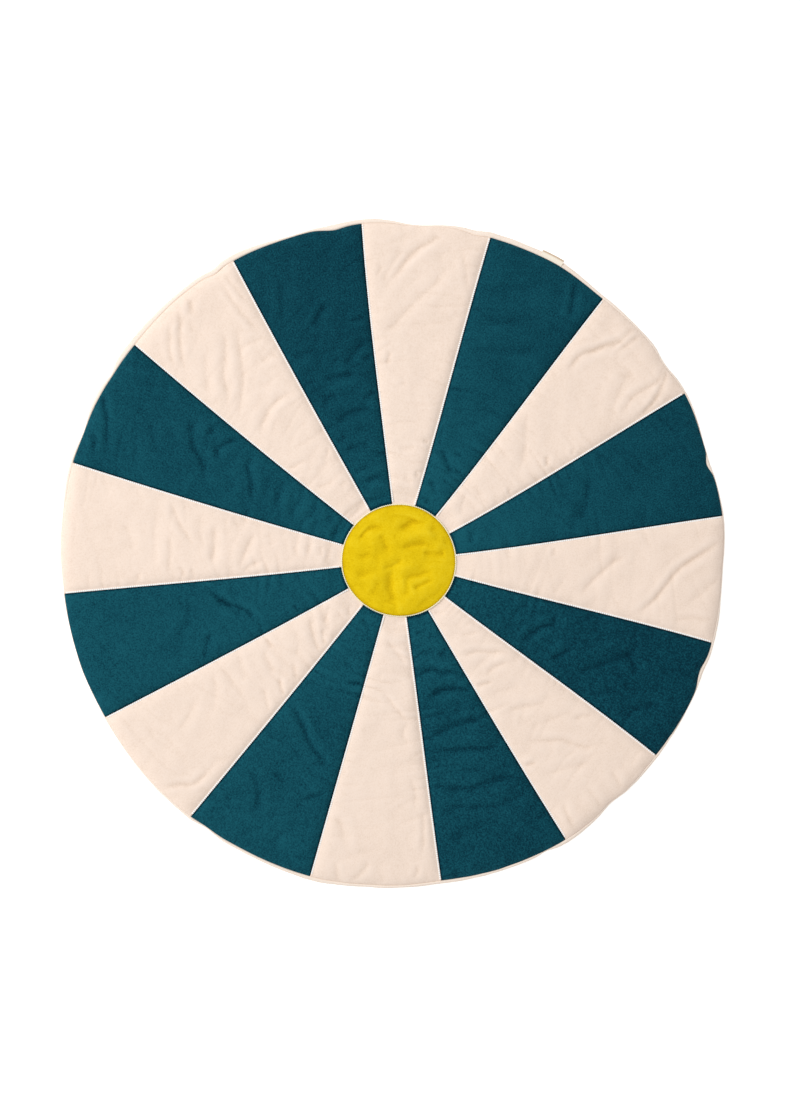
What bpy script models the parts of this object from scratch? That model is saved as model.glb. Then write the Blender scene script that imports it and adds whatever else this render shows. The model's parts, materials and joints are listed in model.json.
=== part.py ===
"""Round quilted baby play mat, one metre across, lying flat.

Sixteen wedge panels, teal and cream in turn, and a yellow centre disc are sewn on a padded back. The cloth
puffs up between the seams, and the back cloth shows as a narrow lip round the rim. Metres, +Z up, and the
floor is at z = 0.
"""

import math
from collections import namedtuple

import bmesh
import bpy
from mathutils import Vector, geometry

MM = 0.001

# Driving dimensions
HUB = Vector((8.7, -10.1)) * MM  # where the seams meet, a little off the middle of the mat's box
DISC_CENTRE = HUB + Vector((0.8, -0.7)) * MM
DISC_RADIUS = 84.8 * MM
DISC_OVAL = 0.9 * MM  # how far the disc's two long ends reach out, and its three corners
DISC_CORNERS = 0.5 * MM
OVAL_TURN = math.radians(-14)
CORNERS_TURN = math.radians(-46)
PANEL_START = 72.0 * MM  # the panels run this far in, under the disc
SHEET = 1.4 * MM
GAP = 0.3 * MM
SEAM_LEVEL = 7.0 * MM  # height of the padding along the sewn seams
RIM_LEVEL = 5.6 * MM  # height of the padding where the panels end
EDGE_LEVEL = 3.8 * MM  # height of the mat's widest line
CROWN_REACH = 30.0 * MM  # distance from a seam at which a panel is fully crowned
STEEPNESS = 4.6  # of the crown beside its seam
RIM_REACH = 34.0 * MM
DISC_CROWN = 4.5 * MM
DISC_REACH = 55.0 * MM
DISC_STEEPNESS = 3.0
PANEL_SWELL_START = 89.0 * MM  # just outside the disc
PANEL_SWELL_RUN = 27.0 * MM  # from there out to where the panels are as full as their width allows
CHANNEL_DEPTH = 1.8 * MM  # under each seam, on the underside
CHANNEL_REACH = 8.0 * MM
UNDER_TURN = 9.0 * MM  # from the widest line in to where the underside lies flat
CHANNEL_START = 30.0 * MM  # from the hub
TURN_IN = 2.6 * MM  # the rim's lower turn lies this far in from the widest line
TURN_LEVEL = 1.3 * MM
LIP_SHARE = 0.6  # of the lip's width, at which its top is rounded off
LIP_DROP = 0.6 * MM
LABEL_WEDGE = 2
LABEL_WIDTH = 35.0 * MM
LABEL_REACH = 10.5 * MM
LABEL_THICKNESS = 1.2 * MM
LABEL_DROOP = 0.2 * MM
LABEL_COLUMNS = 4

# Where the two seam angles of the table below are measured, from the hub
SEAM_NEAR = 108.0 * MM
SEAM_FAR = 444.0 * MM

# One row for each wedge, anticlockwise. Angles in degrees, for the wedge's first seam: near the disc, near
# the rim, and how far it bows from a straight course half way. Lengths in mm: the mat's radius from the hub
# at that seam and in the wedge's middle, the width of back cloth that shows outside the panel at the same two
# places, and the height of the crown.
Wedge = namedtuple("Wedge", "name near far bow rim rim_mid lip lip_mid crown")
WEDGES = (
    Wedge("teal_1", 5.9, 7.7, 0.3, 494.0, 491.5, 2.5, 1.2, 5.2),
    Wedge("cream_1", 27.6, 30.1, 0.4, 501.0, 503.0, 3.5, 4.0, 5.5),
    Wedge("teal_2", 50.1, 51.9, 0.35, 503.5, 512.5, 5.0, 8.5, 5.6),
    Wedge("cream_2", 72.9, 74.1, 0.3, 513.0, 509.0, 9.0, 3.0, 5.5),
    Wedge("teal_3", 96.4, 96.5, 0.3, 516.0, 514.5, 7.5, 3.5, 5.6),
    Wedge("cream_3", 119.4, 119.0, 0.05, 523.0, 521.5, 9.5, 7.5, 5.2),
    Wedge("teal_4", 142.0, 141.0, 0.0, 521.0, 518.0, 9.5, 6.5, 5.6),
    Wedge("cream_4", 164.3, 163.5, 0.0, 515.5, 510.0, 5.0, 3.0, 5.2),
    Wedge("teal_5", 187.0, 185.8, -0.2, 506.5, 504.5, 2.2, 1.4, 5.6),
    Wedge("cream_5", 209.4, 208.3, -0.1, 502.0, 501.5, 2.0, 3.0, 5.5),
    Wedge("teal_6", 232.0, 231.1, -0.1, 501.0, 498.5, 5.0, 5.0, 5.6),
    Wedge("cream_6", 254.7, 254.4, -0.05, 500.0, 494.5, 6.5, 5.0, 5.2),
    Wedge("teal_7", 278.1, 277.6, -0.15, 491.5, 493.0, 5.5, 4.5, 5.5),
    Wedge("cream_7", 300.4, 300.8, -0.1, 495.5, 489.5, 6.0, 3.0, 5.5),
    Wedge("teal_8", 322.2, 323.0, 0.4, 490.0, 489.5, 4.5, 1.6, 5.6),
    Wedge("cream_8", 344.2, 345.3, 0.4, 491.5, 488.5, 4.5, 3.0, 5.5),
)

# Small dents in the rim: the wedge, the share of its width at which the dent lies and over which it spreads,
# how far it draws the rim in, and how much more back cloth shows there (mm)
Dent = namedtuple("Dent", "wedge share spread rim lip")
DENTS = (
    Dent("teal_1", 0.42, 0.07, 1.0, 4.5),
    Dent("cream_1", 0.28, 0.12, 4.0, 0.0),
    Dent("cream_2", 0.12, 0.08, 2.5, 0.0),
    Dent("cream_2", 0.60, 0.18, 4.0, 0.0),
    Dent("teal_3", 0.22, 0.10, 1.0, 3.5),
    Dent("cream_3", 0.18, 0.07, 3.5, 0.0),
    Dent("teal_4", 0.28, 0.07, 3.5, -3.0),
    Dent("teal_4", 0.76, 0.13, 4.5, -3.5),
    Dent("teal_6", 0.14, 0.09, 3.5, -2.0),
    Dent("teal_7", 0.82, 0.07, 3.0, -3.0),
    Dent("cream_7", 0.46, 0.12, 3.5, 0.0),
    Dent("teal_8", 0.75, 0.10, 1.5, 3.5),
)
DENT_FADE = 0.05  # share of a wedge's width beside its seams over which a dent fades out

# Main creases, soft troughs across the panels: the wedge, the distance from the hub (mm) and the share of
# the wedge's width at each end, and the depth (mm)
Crease = namedtuple("Crease", "wedge start start_share end end_share depth")
CREASES = (
    Crease("teal_1", 320, 0.88, 285, 0.25, 5.0),
    Crease("teal_1", 420, 0.68, 460, 0.76, 3.5),
    Crease("cream_1", 385, 0.82, 470, 0.68, 4.5),
    Crease("cream_1", 470, 0.22, 415, 0.12, 4.5),
    Crease("cream_1", 300, 0.88, 235, 0.42, 4.0),
    Crease("teal_2", 385, 0.92, 400, 0.65, 4.0),
    Crease("teal_2", 340, 0.75, 365, 0.38, 4.0),
    Crease("teal_2", 178, 0.85, 158, 0.38, 4.0),
    Crease("cream_2", 465, 0.48, 405, 0.85, 5.0),
    Crease("cream_2", 420, 0.35, 350, 0.80, 4.0),
    Crease("teal_3", 300, 0.90, 285, 0.30, 4.5),
    Crease("teal_3", 230, 0.80, 232, 0.18, 4.5),
    Crease("teal_3", 182, 0.77, 176, 0.28, 3.5),
    Crease("cream_3", 478, 0.68, 430, 0.85, 4.0),
    Crease("cream_3", 300, 0.12, 288, 0.65, 5.0),
    Crease("cream_3", 370, 0.47, 325, 0.80, 3.5),
    Crease("teal_4", 470, 0.70, 440, 0.88, 4.0),
    Crease("teal_4", 385, 0.18, 315, 0.85, 5.0),
    Crease("teal_4", 280, 0.14, 240, 0.80, 4.5),
    Crease("cream_4", 356, 0.14, 350, 0.82, 3.5),
    Crease("cream_4", 318, 0.18, 312, 0.85, 3.5),
    Crease("cream_4", 280, 0.15, 276, 0.85, 3.5),
    Crease("teal_5", 288, 0.12, 235, 0.82, 5.0),
    Crease("cream_5", 478, 0.76, 410, 0.86, 4.0),
    Crease("cream_5", 250, 0.23, 258, 0.80, 3.5),
    Crease("cream_5", 162, 0.24, 175, 0.85, 4.0),
    Crease("teal_6", 272, 0.14, 330, 0.86, 5.0),
    Crease("teal_6", 390, 0.10, 410, 0.34, 3.5),
    Crease("cream_6", 208, 0.55, 245, 0.82, 3.5),
    Crease("cream_6", 395, 0.12, 430, 0.26, 3.5),
    Crease("teal_7", 178, 0.16, 190, 0.85, 3.5),
    Crease("teal_7", 212, 0.18, 222, 0.86, 5.0),
    Crease("teal_7", 264, 0.16, 268, 0.84, 4.0),
    Crease("teal_7", 302, 0.12, 320, 0.86, 4.0),
    Crease("teal_7", 348, 0.10, 366, 0.84, 4.0),
    Crease("cream_7", 178, 0.20, 208, 0.80, 4.0),
    Crease("cream_7", 280, 0.28, 306, 0.70, 3.5),
    Crease("cream_7", 352, 0.14, 372, 0.78, 3.5),
    Crease("teal_8", 224, 0.14, 238, 0.56, 5.0),
    Crease("teal_8", 318, 0.14, 375, 0.82, 5.5),
    Crease("cream_8", 320, 0.62, 288, 0.28, 5.0),
    Crease("cream_8", 425, 0.56, 370, 0.14, 5.5),
)
CREASE_REACH = 12.0 * MM
CREASE_STEP = 22.0 * MM  # between a crease's points
CREASE_BOW = 0.06  # sideways bow, as a share of a crease's length
CREASE_ENDS = (0.12, 0.88)  # the stretch of a half wave that a crease's depth follows from end to end

# Creases of the disc's cloth: both ends, in mm from the hub, and the depth (mm)
DiscCrease = namedtuple("DiscCrease", "x1 y1 x2 y2 depth")
DISC_CREASES = (
    DiscCrease(-10, -14, -8, -58, 1.6),
    DiscCrease(-48, 44, -20, 50, 1.2),
    DiscCrease(0, 42, 26, 58, 1.4),
    DiscCrease(8, 22, 52, 16, 1.4),
    DiscCrease(20, -18, 46, -6, 1.2),
)
DISC_CREASE_REACH = 9.0 * MM
DISC_CREASE_STEPS = 3

# The mesh's rows, from the hub and in from the panels' edge, and its columns, as shares of a wedge's width
INNER_ROWS = tuple(r * MM for r in (85, 89, 98, 112, 150, 200, 250, 300, 350, 400))
OUTER_ROWS = tuple(r * MM for r in (36, 16, 5))
COLUMNS = (0.05, 0.2, 0.5, 0.8, 0.95)
NARROW_COLUMNS = (0.15, 0.5, 0.85)
NARROW_BELOW = 140.0 * MM
ARC_SHARES = (0.0, 0.05, 0.15, 0.3, 0.5, 0.7, 0.85, 0.95, 1.0)
HUB_SHARES = (0.0, 0.25, 0.5, 0.75, 1.0)
UNDER_ROWS = tuple(r * MM for r in (85, 200, 320, 430))
DISC_RINGS = ((58.0 * MM, 24), (40.0 * MM, 16), (20.0 * MM, 8))  # radius and number of points of each ring
GRID_CLEARANCE = 0.9 * CREASE_REACH  # no other grid point lies nearer to a crease
DISC_CLEARANCE = 0.7 * DISC_CREASE_REACH
EDGE_CLEARANCE = 6.0 * MM
POINT_SPACING = 5.0 * MM
PANEL_END_GAP = 0.25 * MM
STEP = GAP - PANEL_END_GAP  # the padding's step up past a panel's end leans back this much
WELD = 0.02 * MM
SHARP_ANGLE = math.radians(50)

# Colours and finish: name, red, green, blue (linear) and roughness
CLOTHS = {
    "teal": ("teal_canvas", (0.0065, 0.061, 0.084), 0.9),
    "cream": ("cream_canvas", (0.88, 0.74, 0.62), 0.9),
    "yellow": ("yellow_canvas", (0.78, 0.54, 0.010), 0.9),
    "back": ("back_canvas", (0.86, 0.72, 0.60), 0.92),
    "tape": ("label_tape", (0.90, 0.86, 0.78), 0.85),
}

Patch = namedtuple("Patch", "points triangles loop")


def clear_scene():
    for obj in list(bpy.data.objects):
        bpy.data.objects.remove(obj, do_unlink=True)


def make_cloth(key):
    name, colour, roughness = CLOTHS[key]
    material = bpy.data.materials.new(name)
    material.use_nodes = True
    shader = material.node_tree.nodes["Principled BSDF"]
    shader.inputs["Base Color"].default_value = (*colour, 1.0)
    shader.inputs["Roughness"].default_value = roughness
    shader.inputs["Metallic"].default_value = 0.0
    return material


def add_object(name, bm, material):
    """Weld a bmesh made of loose faces into one closed body, and link it as an object."""
    bmesh.ops.remove_doubles(bm, verts=bm.verts, dist=WELD)
    bmesh.ops.recalc_face_normals(bm, faces=bm.faces)
    bmesh.ops.triangulate(bm, faces=bm.faces)
    mesh = bpy.data.meshes.new(name)
    bm.to_mesh(mesh)
    bm.free()
    mesh.shade_smooth()
    mesh.set_sharp_from_angle(angle=SHARP_ANGLE)
    mesh.materials.append(material)
    obj = bpy.data.objects.new(name, mesh)
    bpy.context.collection.objects.link(obj)
    return obj


def add_face(bm, corners):
    bm.faces.new([bm.verts.new(corner) for corner in corners])


def add_band(bm, first, second):
    """Quads between two rows of as many points."""
    for k in range(len(first) - 1):
        add_face(bm, (first[k], first[k + 1], second[k + 1], second[k]))


def blend(a, b, t):
    return a + (b - a) * t


def ease(t):
    t = min(max(t, 0.0), 1.0)
    return t * t * (3.0 - 2.0 * t)


def rise(distance, reach, steepness=2.2):
    """0 at a seam, 1 from `reach` on, steep at first: the swell of a filled cloth beside its stitches."""
    t = min(max(distance / reach, 0.0), 1.0)
    return 1.0 - (1.0 - t) ** steepness


def seam_angle(index, radius):
    wedge = WEDGES[index % len(WEDGES)]
    turn = 360.0 * (index // len(WEDGES))
    t = (radius - SEAM_NEAR) / (SEAM_FAR - SEAM_NEAR)
    return math.radians(blend(wedge.near, wedge.far, t) + 4.0 * wedge.bow * t * (1.0 - t) + turn)


def polar(radius, angle):
    return Vector((math.cos(angle), math.sin(angle))) * radius


def place(index, radius, share):
    """A point of the plan: a wedge, a distance from the hub and a share of the wedge's width."""
    return HUB + polar(radius, blend(seam_angle(index, radius), seam_angle(index + 1, radius), share))


def share_of(index, point):
    """The reverse of place: a point's distance from the hub and its share of the wedge's width."""
    arm = point - HUB
    radius = arm.length
    first = seam_angle(index, radius)
    width = seam_angle(index + 1, radius) - first
    angle = (math.atan2(arm.y, arm.x) - first + math.pi) % (2.0 * math.pi) - math.pi
    return radius, angle / width


def wedge_width(index, radius):
    return (seam_angle(index + 1, radius) - seam_angle(index, radius)) * radius


def seam_distance(index, radius, share):
    return min(share, 1.0 - share) * wedge_width(index, radius)


def dents_at(index, share):
    """How far the dents of a wedge draw the rim in, and widen the lip, at a share of its width."""
    rim = 0.0
    lip = 0.0
    for dent in DENTS:
        if dent.wedge == WEDGES[index].name:
            bell = math.exp(-(((share - dent.share) / dent.spread) ** 2))
            bell *= ease(min(share, 1.0 - share) / DENT_FADE)
            rim += dent.rim * bell
            lip += dent.lip * bell
    return rim * MM, lip * MM


def between_seams(index, share, at_seam, at_middle):
    """A column of the wedge table, eased from the first seam to the middle and on to the next seam."""
    here = WEDGES[index]
    following = WEDGES[(index + 1) % len(WEDGES)]
    if share <= 0.5:
        value = blend(getattr(here, at_seam), getattr(here, at_middle), ease(2.0 * share))
    else:
        value = blend(getattr(here, at_middle), getattr(following, at_seam), ease(2.0 * share - 1.0))
    return value * MM


def rim_radius(index, share):
    return between_seams(index, share, "rim", "rim_mid") - dents_at(index, share)[0]


def panel_end(index, share):
    rim, lip = dents_at(index, share)
    whole_lip = between_seams(index, share, "lip", "lip_mid") + lip
    return between_seams(index, share, "rim", "rim_mid") - rim - whole_lip


def crease_path(crease):
    """A crease's points in plan, bowed a little to one side."""
    index = [wedge.name for wedge in WEDGES].index(crease.wedge)
    start = place(index, crease.start * MM, crease.start_share)
    end = place(index, crease.end * MM, crease.end_share)
    along = end - start
    steps = max(2, round(along.length / CREASE_STEP))
    bow = Vector((-along.y, along.x)) * CREASE_BOW
    return [start + along * (k / steps) + bow * math.sin(math.pi * k / steps) for k in range(steps + 1)]


def path_distance(point, path):
    """Distance from a point to a path, and how far along the path it is, from 0 to 1."""
    best = (math.inf, 0.0)
    for k in range(len(path) - 1):
        span = path[k + 1] - path[k]
        t = min(max((point - path[k]).dot(span) / span.length_squared, 0.0), 1.0)
        best = min(best, ((point - path[k] - span * t).length, (k + t) / (len(path) - 1)))
    return best


def trough(point, path, depth, reach):
    """Depth of a crease at a point: deepest half way along, gone at the ends and `reach` to the side."""
    distance, along = path_distance(point, path)
    side = max(0.0, 1.0 - distance / reach)
    return depth * side * math.sin(math.pi * blend(*CREASE_ENDS, along))


CREASE_PATHS = tuple((crease, crease_path(crease)) for crease in CREASES)


def disc_crease_path(crease):
    start = HUB + Vector((crease.x1, crease.y1)) * MM
    end = HUB + Vector((crease.x2, crease.y2)) * MM
    return [start.lerp(end, k / DISC_CREASE_STEPS) for k in range(DISC_CREASE_STEPS + 1)]


def wedge_creases(index):
    return [(crease, path) for crease, path in CREASE_PATHS if crease.wedge == WEDGES[index].name]


def hub_swell(radius):
    return DISC_CROWN * rise(DISC_RADIUS - radius, DISC_REACH, DISC_STEEPNESS)


def padding_top(index, point):
    """Height of the padding's upper face under a wedge panel."""
    radius, share = share_of(index, point)
    share = min(max(share, 0.0), 1.0)
    to_end = panel_end(index, share) - radius
    level = blend(RIM_LEVEL, SEAM_LEVEL, rise(to_end, RIM_REACH)) + hub_swell(radius)
    half_width = 0.5 * wedge_width(index, radius)
    reach = min(CROWN_REACH, half_width)
    crown = WEDGES[index].crown * MM * (reach / CROWN_REACH) ** 0.8
    swell = rise(seam_distance(index, radius, share), reach, STEEPNESS) * rise(to_end, RIM_REACH, STEEPNESS)
    swell *= ease((radius - PANEL_SWELL_START) / PANEL_SWELL_RUN)
    dip = sum(trough(point, path, crease.depth * MM, CREASE_REACH) for crease, path in wedge_creases(index))
    return level + crown * swell - dip * swell


def disc_seat(point):
    """Height of the padding's upper face under the disc, raised to meet it inside the panels' ends."""
    radius = (point - HUB).length
    fade = 1.0 - min(radius / PANEL_START, 1.0) ** 2
    dip = 0.0
    for crease in DISC_CREASES:
        dip += trough(point, disc_crease_path(crease), crease.depth * MM, DISC_CREASE_REACH)
    return SEAM_LEVEL + hub_swell(radius) + GAP + SHEET - dip * fade


def padding_bottom(index, point):
    """Height of the underside: flat on the floor, with a shallow channel under each seam."""
    radius, share = share_of(index, point)
    share = min(max(share, 0.0), 1.0)
    side = max(0.0, 1.0 - seam_distance(index, radius, share) / CHANNEL_REACH)
    return CHANNEL_DEPTH * side * ease((radius - CHANNEL_START) / DISC_RADIUS)


def lift(point, height):
    return Vector((point.x, point.y, height))


def triangulate(loop, inside, lines=()):
    """Triangles that fill a loop of points, through the points inside it and along the given lines."""
    points = list(loop) + list(inside)
    edges = []
    for line in lines:
        first = len(points)
        points.extend(line)
        edges.extend((first + k, first + k + 1) for k in range(len(line) - 1))
    result = geometry.delaunay_2d_cdt(points, edges, [list(range(len(loop)))], 1, 1e-6)
    filled, _, triangles, origins = result[:4]
    order = {origin: k for k, made_from in enumerate(origins) for origin in made_from}
    return Patch(filled, [tuple(triangle) for triangle in triangles], [order[k] for k in range(len(loop))])


def clear_of(point, paths, distance):
    return all(path_distance(point, path)[0] >= distance for path in paths)


def flank_points(path):
    """Points on both sides of a crease, where its slopes end."""
    points = []
    for k, point in enumerate(path):
        along = path[min(k + 1, len(path) - 1)] - path[max(k - 1, 0)]
        side = Vector((-along.y, along.x)).normalized() * CREASE_REACH
        points.extend((point + side, point - side))
    return points


def wedge_loop(index):
    """A panel's outline anticlockwise: radius, share, and how each point is drawn in to leave a gap."""
    drawn_across = {0.0: 1, 1.0: -1}
    inner = [(PANEL_START, share, 1, drawn_across.get(share, 0)) for share in reversed(HUB_SHARES)]
    first = [(radius, 0.0, 0, 1) for radius in seam_rows(index)]
    outer = [(panel_end(index, share), share, -1, drawn_across.get(share, 0)) for share in ARC_SHARES]
    last = [(radius, 1.0, 0, -1) for radius in reversed(seam_rows(index + 1))]
    return inner + first + outer + last


def seam_rows(index):
    end = panel_end(index % len(WEDGES), 0.0)
    return list(INNER_ROWS) + [end - row for row in OUTER_ROWS]


def wedge_patch(index):
    """The plan of one panel, cut into triangles that follow its creases."""
    loop = [place(index, radius, share) for radius, share, _, _ in wedge_loop(index)]
    paths = [path for _, path in wedge_creases(index)]
    grid = []
    for radius in INNER_ROWS:
        columns = NARROW_COLUMNS if radius < NARROW_BELOW else COLUMNS
        grid.extend(place(index, radius, share) for share in columns)
    for row in OUTER_ROWS:
        grid.extend(place(index, panel_end(index, share) - row, share) for share in ARC_SHARES[1:-1])
    inside = [point for point in grid if clear_of(point, paths, GRID_CLEARANCE)]
    for point in [point for path in paths for point in flank_points(path)]:
        radius, share = share_of(index, point)
        to_edge = min(seam_distance(index, radius, share), panel_end(index, share) - radius)
        crowded = any((point - other).length < POINT_SPACING for other in inside)
        if to_edge > EDGE_CLEARANCE and clear_of(point, paths, GRID_CLEARANCE) and not crowded:
            inside.append(point)
    return triangulate(loop, inside, paths)


def disc_patch():
    """The plan inside the panels' ends, shared by the padding and the disc that lies on it."""
    loop = []
    for index in range(len(WEDGES)):
        loop.extend(place(index, PANEL_START, share) for share in HUB_SHARES[:-1])
    paths = [disc_crease_path(crease) for crease in DISC_CREASES]
    grid = [HUB.copy()]
    for radius, count in DISC_RINGS:
        grid.extend(HUB + polar(radius, 2.0 * math.pi * k / count) for k in range(count))
    return triangulate(loop, [point for point in grid if clear_of(point, paths, DISC_CLEARANCE)], paths)


def under_patch(index):
    """The plan of the underside below one wedge, from the hub to where the rim turns up."""
    rows = list(UNDER_ROWS)
    arc = [place(index, rim_radius(index, share) - UNDER_TURN, share) for share in ARC_SHARES]
    first = [place(index, radius, 0.0) for radius in rows]
    last = [place(index, radius, 1.0) for radius in reversed(rows)]
    inside = []
    for radius in rows:
        share = CHANNEL_REACH / wedge_width(index, radius)
        inside.extend(place(index, radius, s) for s in (share, 0.5, 1.0 - share))
    return triangulate([HUB.copy()] + first + arc + last, inside)


def oriented(points, triangle, upward):
    """A triangle's corners, anticlockwise from above if `upward`."""
    a, b, c = (points[k] for k in triangle)
    anticlockwise = (b - a).cross(c - a) > 0.0
    return triangle if anticlockwise == upward else tuple(reversed(triangle))


def sheet_between(bm, patch, plan, lower, upper):
    """A closed sheet over a patch: its plan points at a lower and an upper height each, with side walls."""
    for triangle in patch.triangles:
        add_face(bm, [lift(plan[k], lower[k]) for k in oriented(patch.points, triangle, False)])
        add_face(bm, [lift(plan[k], upper[k]) for k in oriented(patch.points, triangle, True)])
    ring = patch.loop + patch.loop[:1]
    add_band(bm, [lift(plan[k], lower[k]) for k in ring], [lift(plan[k], upper[k]) for k in ring])


def make_panel(index, patch, material):
    """One wedge of cloth, a gap above the padding and a gap from its neighbours."""
    lower = [padding_top(index, point) + GAP for point in patch.points]
    upper = [height + SHEET for height in lower]
    plan = [point.copy() for point in patch.points]
    for k, (radius, share, along, across) in zip(patch.loop, wedge_loop(index)):
        radial = (plan[k] - HUB).normalized()
        sideways = Vector((-radial.y, radial.x))
        plan[k] = plan[k] + radial * along * PANEL_END_GAP + sideways * across * 0.5 * GAP
    bm = bmesh.new()
    sheet_between(bm, patch, plan, lower, upper)
    return add_object(WEDGES[index].name, bm, material)


def disc_edge(angle):
    """The disc's outline, slightly oval and slightly three-cornered."""
    oval = DISC_OVAL * math.cos(2.0 * (angle - OVAL_TURN))
    corners = DISC_CORNERS * math.cos(3.0 * (angle - CORNERS_TURN))
    return DISC_CENTRE + polar(DISC_RADIUS + oval + corners, angle)


def make_disc(patch, material):
    """The round of cloth over the panels' inner ends."""
    up = Vector((0.0, 0.0, SHEET))
    bm = bmesh.new()
    for triangle in patch.triangles:
        corners = [patch.points[k] for k in oriented(patch.points, triangle, False)]
        under = [lift(point, disc_seat(point) + GAP) for point in corners]
        over = [corner + up for corner in reversed(under)]
        add_face(bm, under)
        add_face(bm, over)
    inner = [patch.points[k] for k in patch.loop + patch.loop[:1]]
    arms = [point - HUB for point in inner]
    edge = [disc_edge(math.atan2(arm.y, arm.x)) for arm in arms]
    middle = [a.lerp(b, 0.5) for a, b in zip(inner, edge)]
    rings = [[lift(point, disc_seat(point) + GAP) for point in ring] for ring in (inner, middle, edge)]
    tops = [[corner + up for corner in ring] for ring in reversed(rings)]
    turn = rings + tops
    for near, far in zip(turn, turn[1:]):
        add_band(bm, near, far)
    return add_object("disc", bm, material)


def rim_rings(index):
    """The padding's edge beside one wedge: rows of points from the panel's end round to the underside."""
    rows = [[] for _ in range(6)]
    for share in ARC_SHARES:
        end = panel_end(index, share)
        rim = rim_radius(index, share)
        start = place(index, end, share)
        low = padding_top(index, start)
        channel = padding_bottom(index, place(index, rim - UNDER_TURN, share))
        lip_top = low + GAP + SHEET
        profile = (
            (end, low),
            (end + STEP, lip_top),
            (blend(end, rim, LIP_SHARE), lip_top - LIP_DROP),
            (rim, EDGE_LEVEL),
            (rim - TURN_IN, TURN_LEVEL + 0.5 * channel),
            (rim - UNDER_TURN, channel),
        )
        for row, (radius, height) in zip(rows, profile):
            row.append(lift(place(index, radius, share), height))
    return rows


def make_pad(patches, hub_patch, material):
    """The back cloth and its padding: one filled solid, crowned between the seams."""
    bm = bmesh.new()
    for index, patch in enumerate(patches):
        tops = [lift(point, padding_top(index, point)) for point in patch.points]
        for triangle in patch.triangles:
            add_face(bm, [tops[k] for k in oriented(patch.points, triangle, True)])
        rows = rim_rings(index)
        for near, far in zip(rows, rows[1:]):
            add_band(bm, far, near)
        under = under_patch(index)
        floors = [lift(point, padding_bottom(index, point)) for point in under.points]
        for triangle in under.triangles:
            add_face(bm, [floors[k] for k in oriented(under.points, triangle, False)])
    shrink = 1.0 - STEP / PANEL_START
    centre = [HUB + (point - HUB) * shrink for point in hub_patch.points]
    seats = [lift(spot, disc_seat(point)) for spot, point in zip(centre, hub_patch.points)]
    for triangle in hub_patch.triangles:
        add_face(bm, [seats[k] for k in oriented(hub_patch.points, triangle, True)])
    ring = hub_patch.loop + hub_patch.loop[:1]
    ends = [hub_patch.points[k] for k in ring]
    step_foot = [lift(point, SEAM_LEVEL + hub_swell((point - HUB).length)) for point in ends]
    add_band(bm, step_foot, [seats[k] for k in ring])
    return add_object("pad", bm, material)


def make_label(material):
    """The blank loop label, a folded tape that stands out over the lip in the second teal wedge."""
    index = LABEL_WEDGE
    width = LABEL_WIDTH / wedge_width(index, rim_radius(index, 0.5))
    inner = []
    outer = []
    for k in range(LABEL_COLUMNS + 1):
        share = 0.5 + width * (k / LABEL_COLUMNS - 0.5)
        end = panel_end(index, share)
        height = padding_top(index, place(index, end, share)) + GAP + SHEET + GAP
        inner.append(lift(place(index, end + GAP, share), height))
        outer.append(lift(place(index, end + LABEL_REACH, share), height - LABEL_DROOP))
    up = Vector((0.0, 0.0, LABEL_THICKNESS))
    rows = [inner, outer, [corner + up for corner in outer], [corner + up for corner in inner], inner]
    bm = bmesh.new()
    for first, second in zip(rows, rows[1:]):
        add_band(bm, first, second)
    for k in (0, -1):
        add_face(bm, [row[k] for row in rows[:-1]])
    return add_object("label", bm, material)


def build():
    clear_scene()
    cloths = {key: make_cloth(key) for key in CLOTHS}
    patches = [wedge_patch(index) for index in range(len(WEDGES))]
    hub_patch = disc_patch()
    make_pad(patches, hub_patch, cloths["back"])
    for index, patch in enumerate(patches):
        colour = WEDGES[index].name.split("_")[0]
        make_panel(index, patch, cloths[colour])
    make_disc(hub_patch, cloths["yellow"])
    make_label(cloths["tape"])


build()
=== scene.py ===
"""The looks of a round quilted baby play mat: its cloth, padding, stitches, light and camera.

Lengths are in millimetres unless a name says otherwise; make_piece turns them into metres. A place on the
mat is a wedge, a distance from the hub and a share of the wedge's width, anticlockwise from its first seam.
"""

import json
import math
from collections import namedtuple

import bpy
import numpy as np
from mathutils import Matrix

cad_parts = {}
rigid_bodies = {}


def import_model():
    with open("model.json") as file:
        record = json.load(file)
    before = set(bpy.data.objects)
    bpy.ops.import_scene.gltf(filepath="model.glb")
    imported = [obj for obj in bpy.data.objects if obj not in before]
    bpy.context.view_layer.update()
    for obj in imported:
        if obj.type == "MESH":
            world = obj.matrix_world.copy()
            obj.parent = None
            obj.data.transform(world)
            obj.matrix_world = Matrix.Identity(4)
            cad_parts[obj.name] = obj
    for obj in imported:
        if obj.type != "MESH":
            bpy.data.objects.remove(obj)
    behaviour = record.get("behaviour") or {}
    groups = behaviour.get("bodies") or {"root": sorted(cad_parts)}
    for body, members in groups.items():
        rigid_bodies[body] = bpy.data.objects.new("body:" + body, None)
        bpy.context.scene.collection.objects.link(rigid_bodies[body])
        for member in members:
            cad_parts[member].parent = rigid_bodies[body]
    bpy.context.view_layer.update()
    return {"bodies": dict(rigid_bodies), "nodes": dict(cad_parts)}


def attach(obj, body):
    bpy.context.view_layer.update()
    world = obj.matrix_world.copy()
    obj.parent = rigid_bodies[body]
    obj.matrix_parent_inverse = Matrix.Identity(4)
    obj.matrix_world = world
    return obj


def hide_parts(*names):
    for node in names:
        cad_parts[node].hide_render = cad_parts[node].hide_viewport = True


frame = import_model()

METRES = 0.001  # metres in a millimetre

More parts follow.
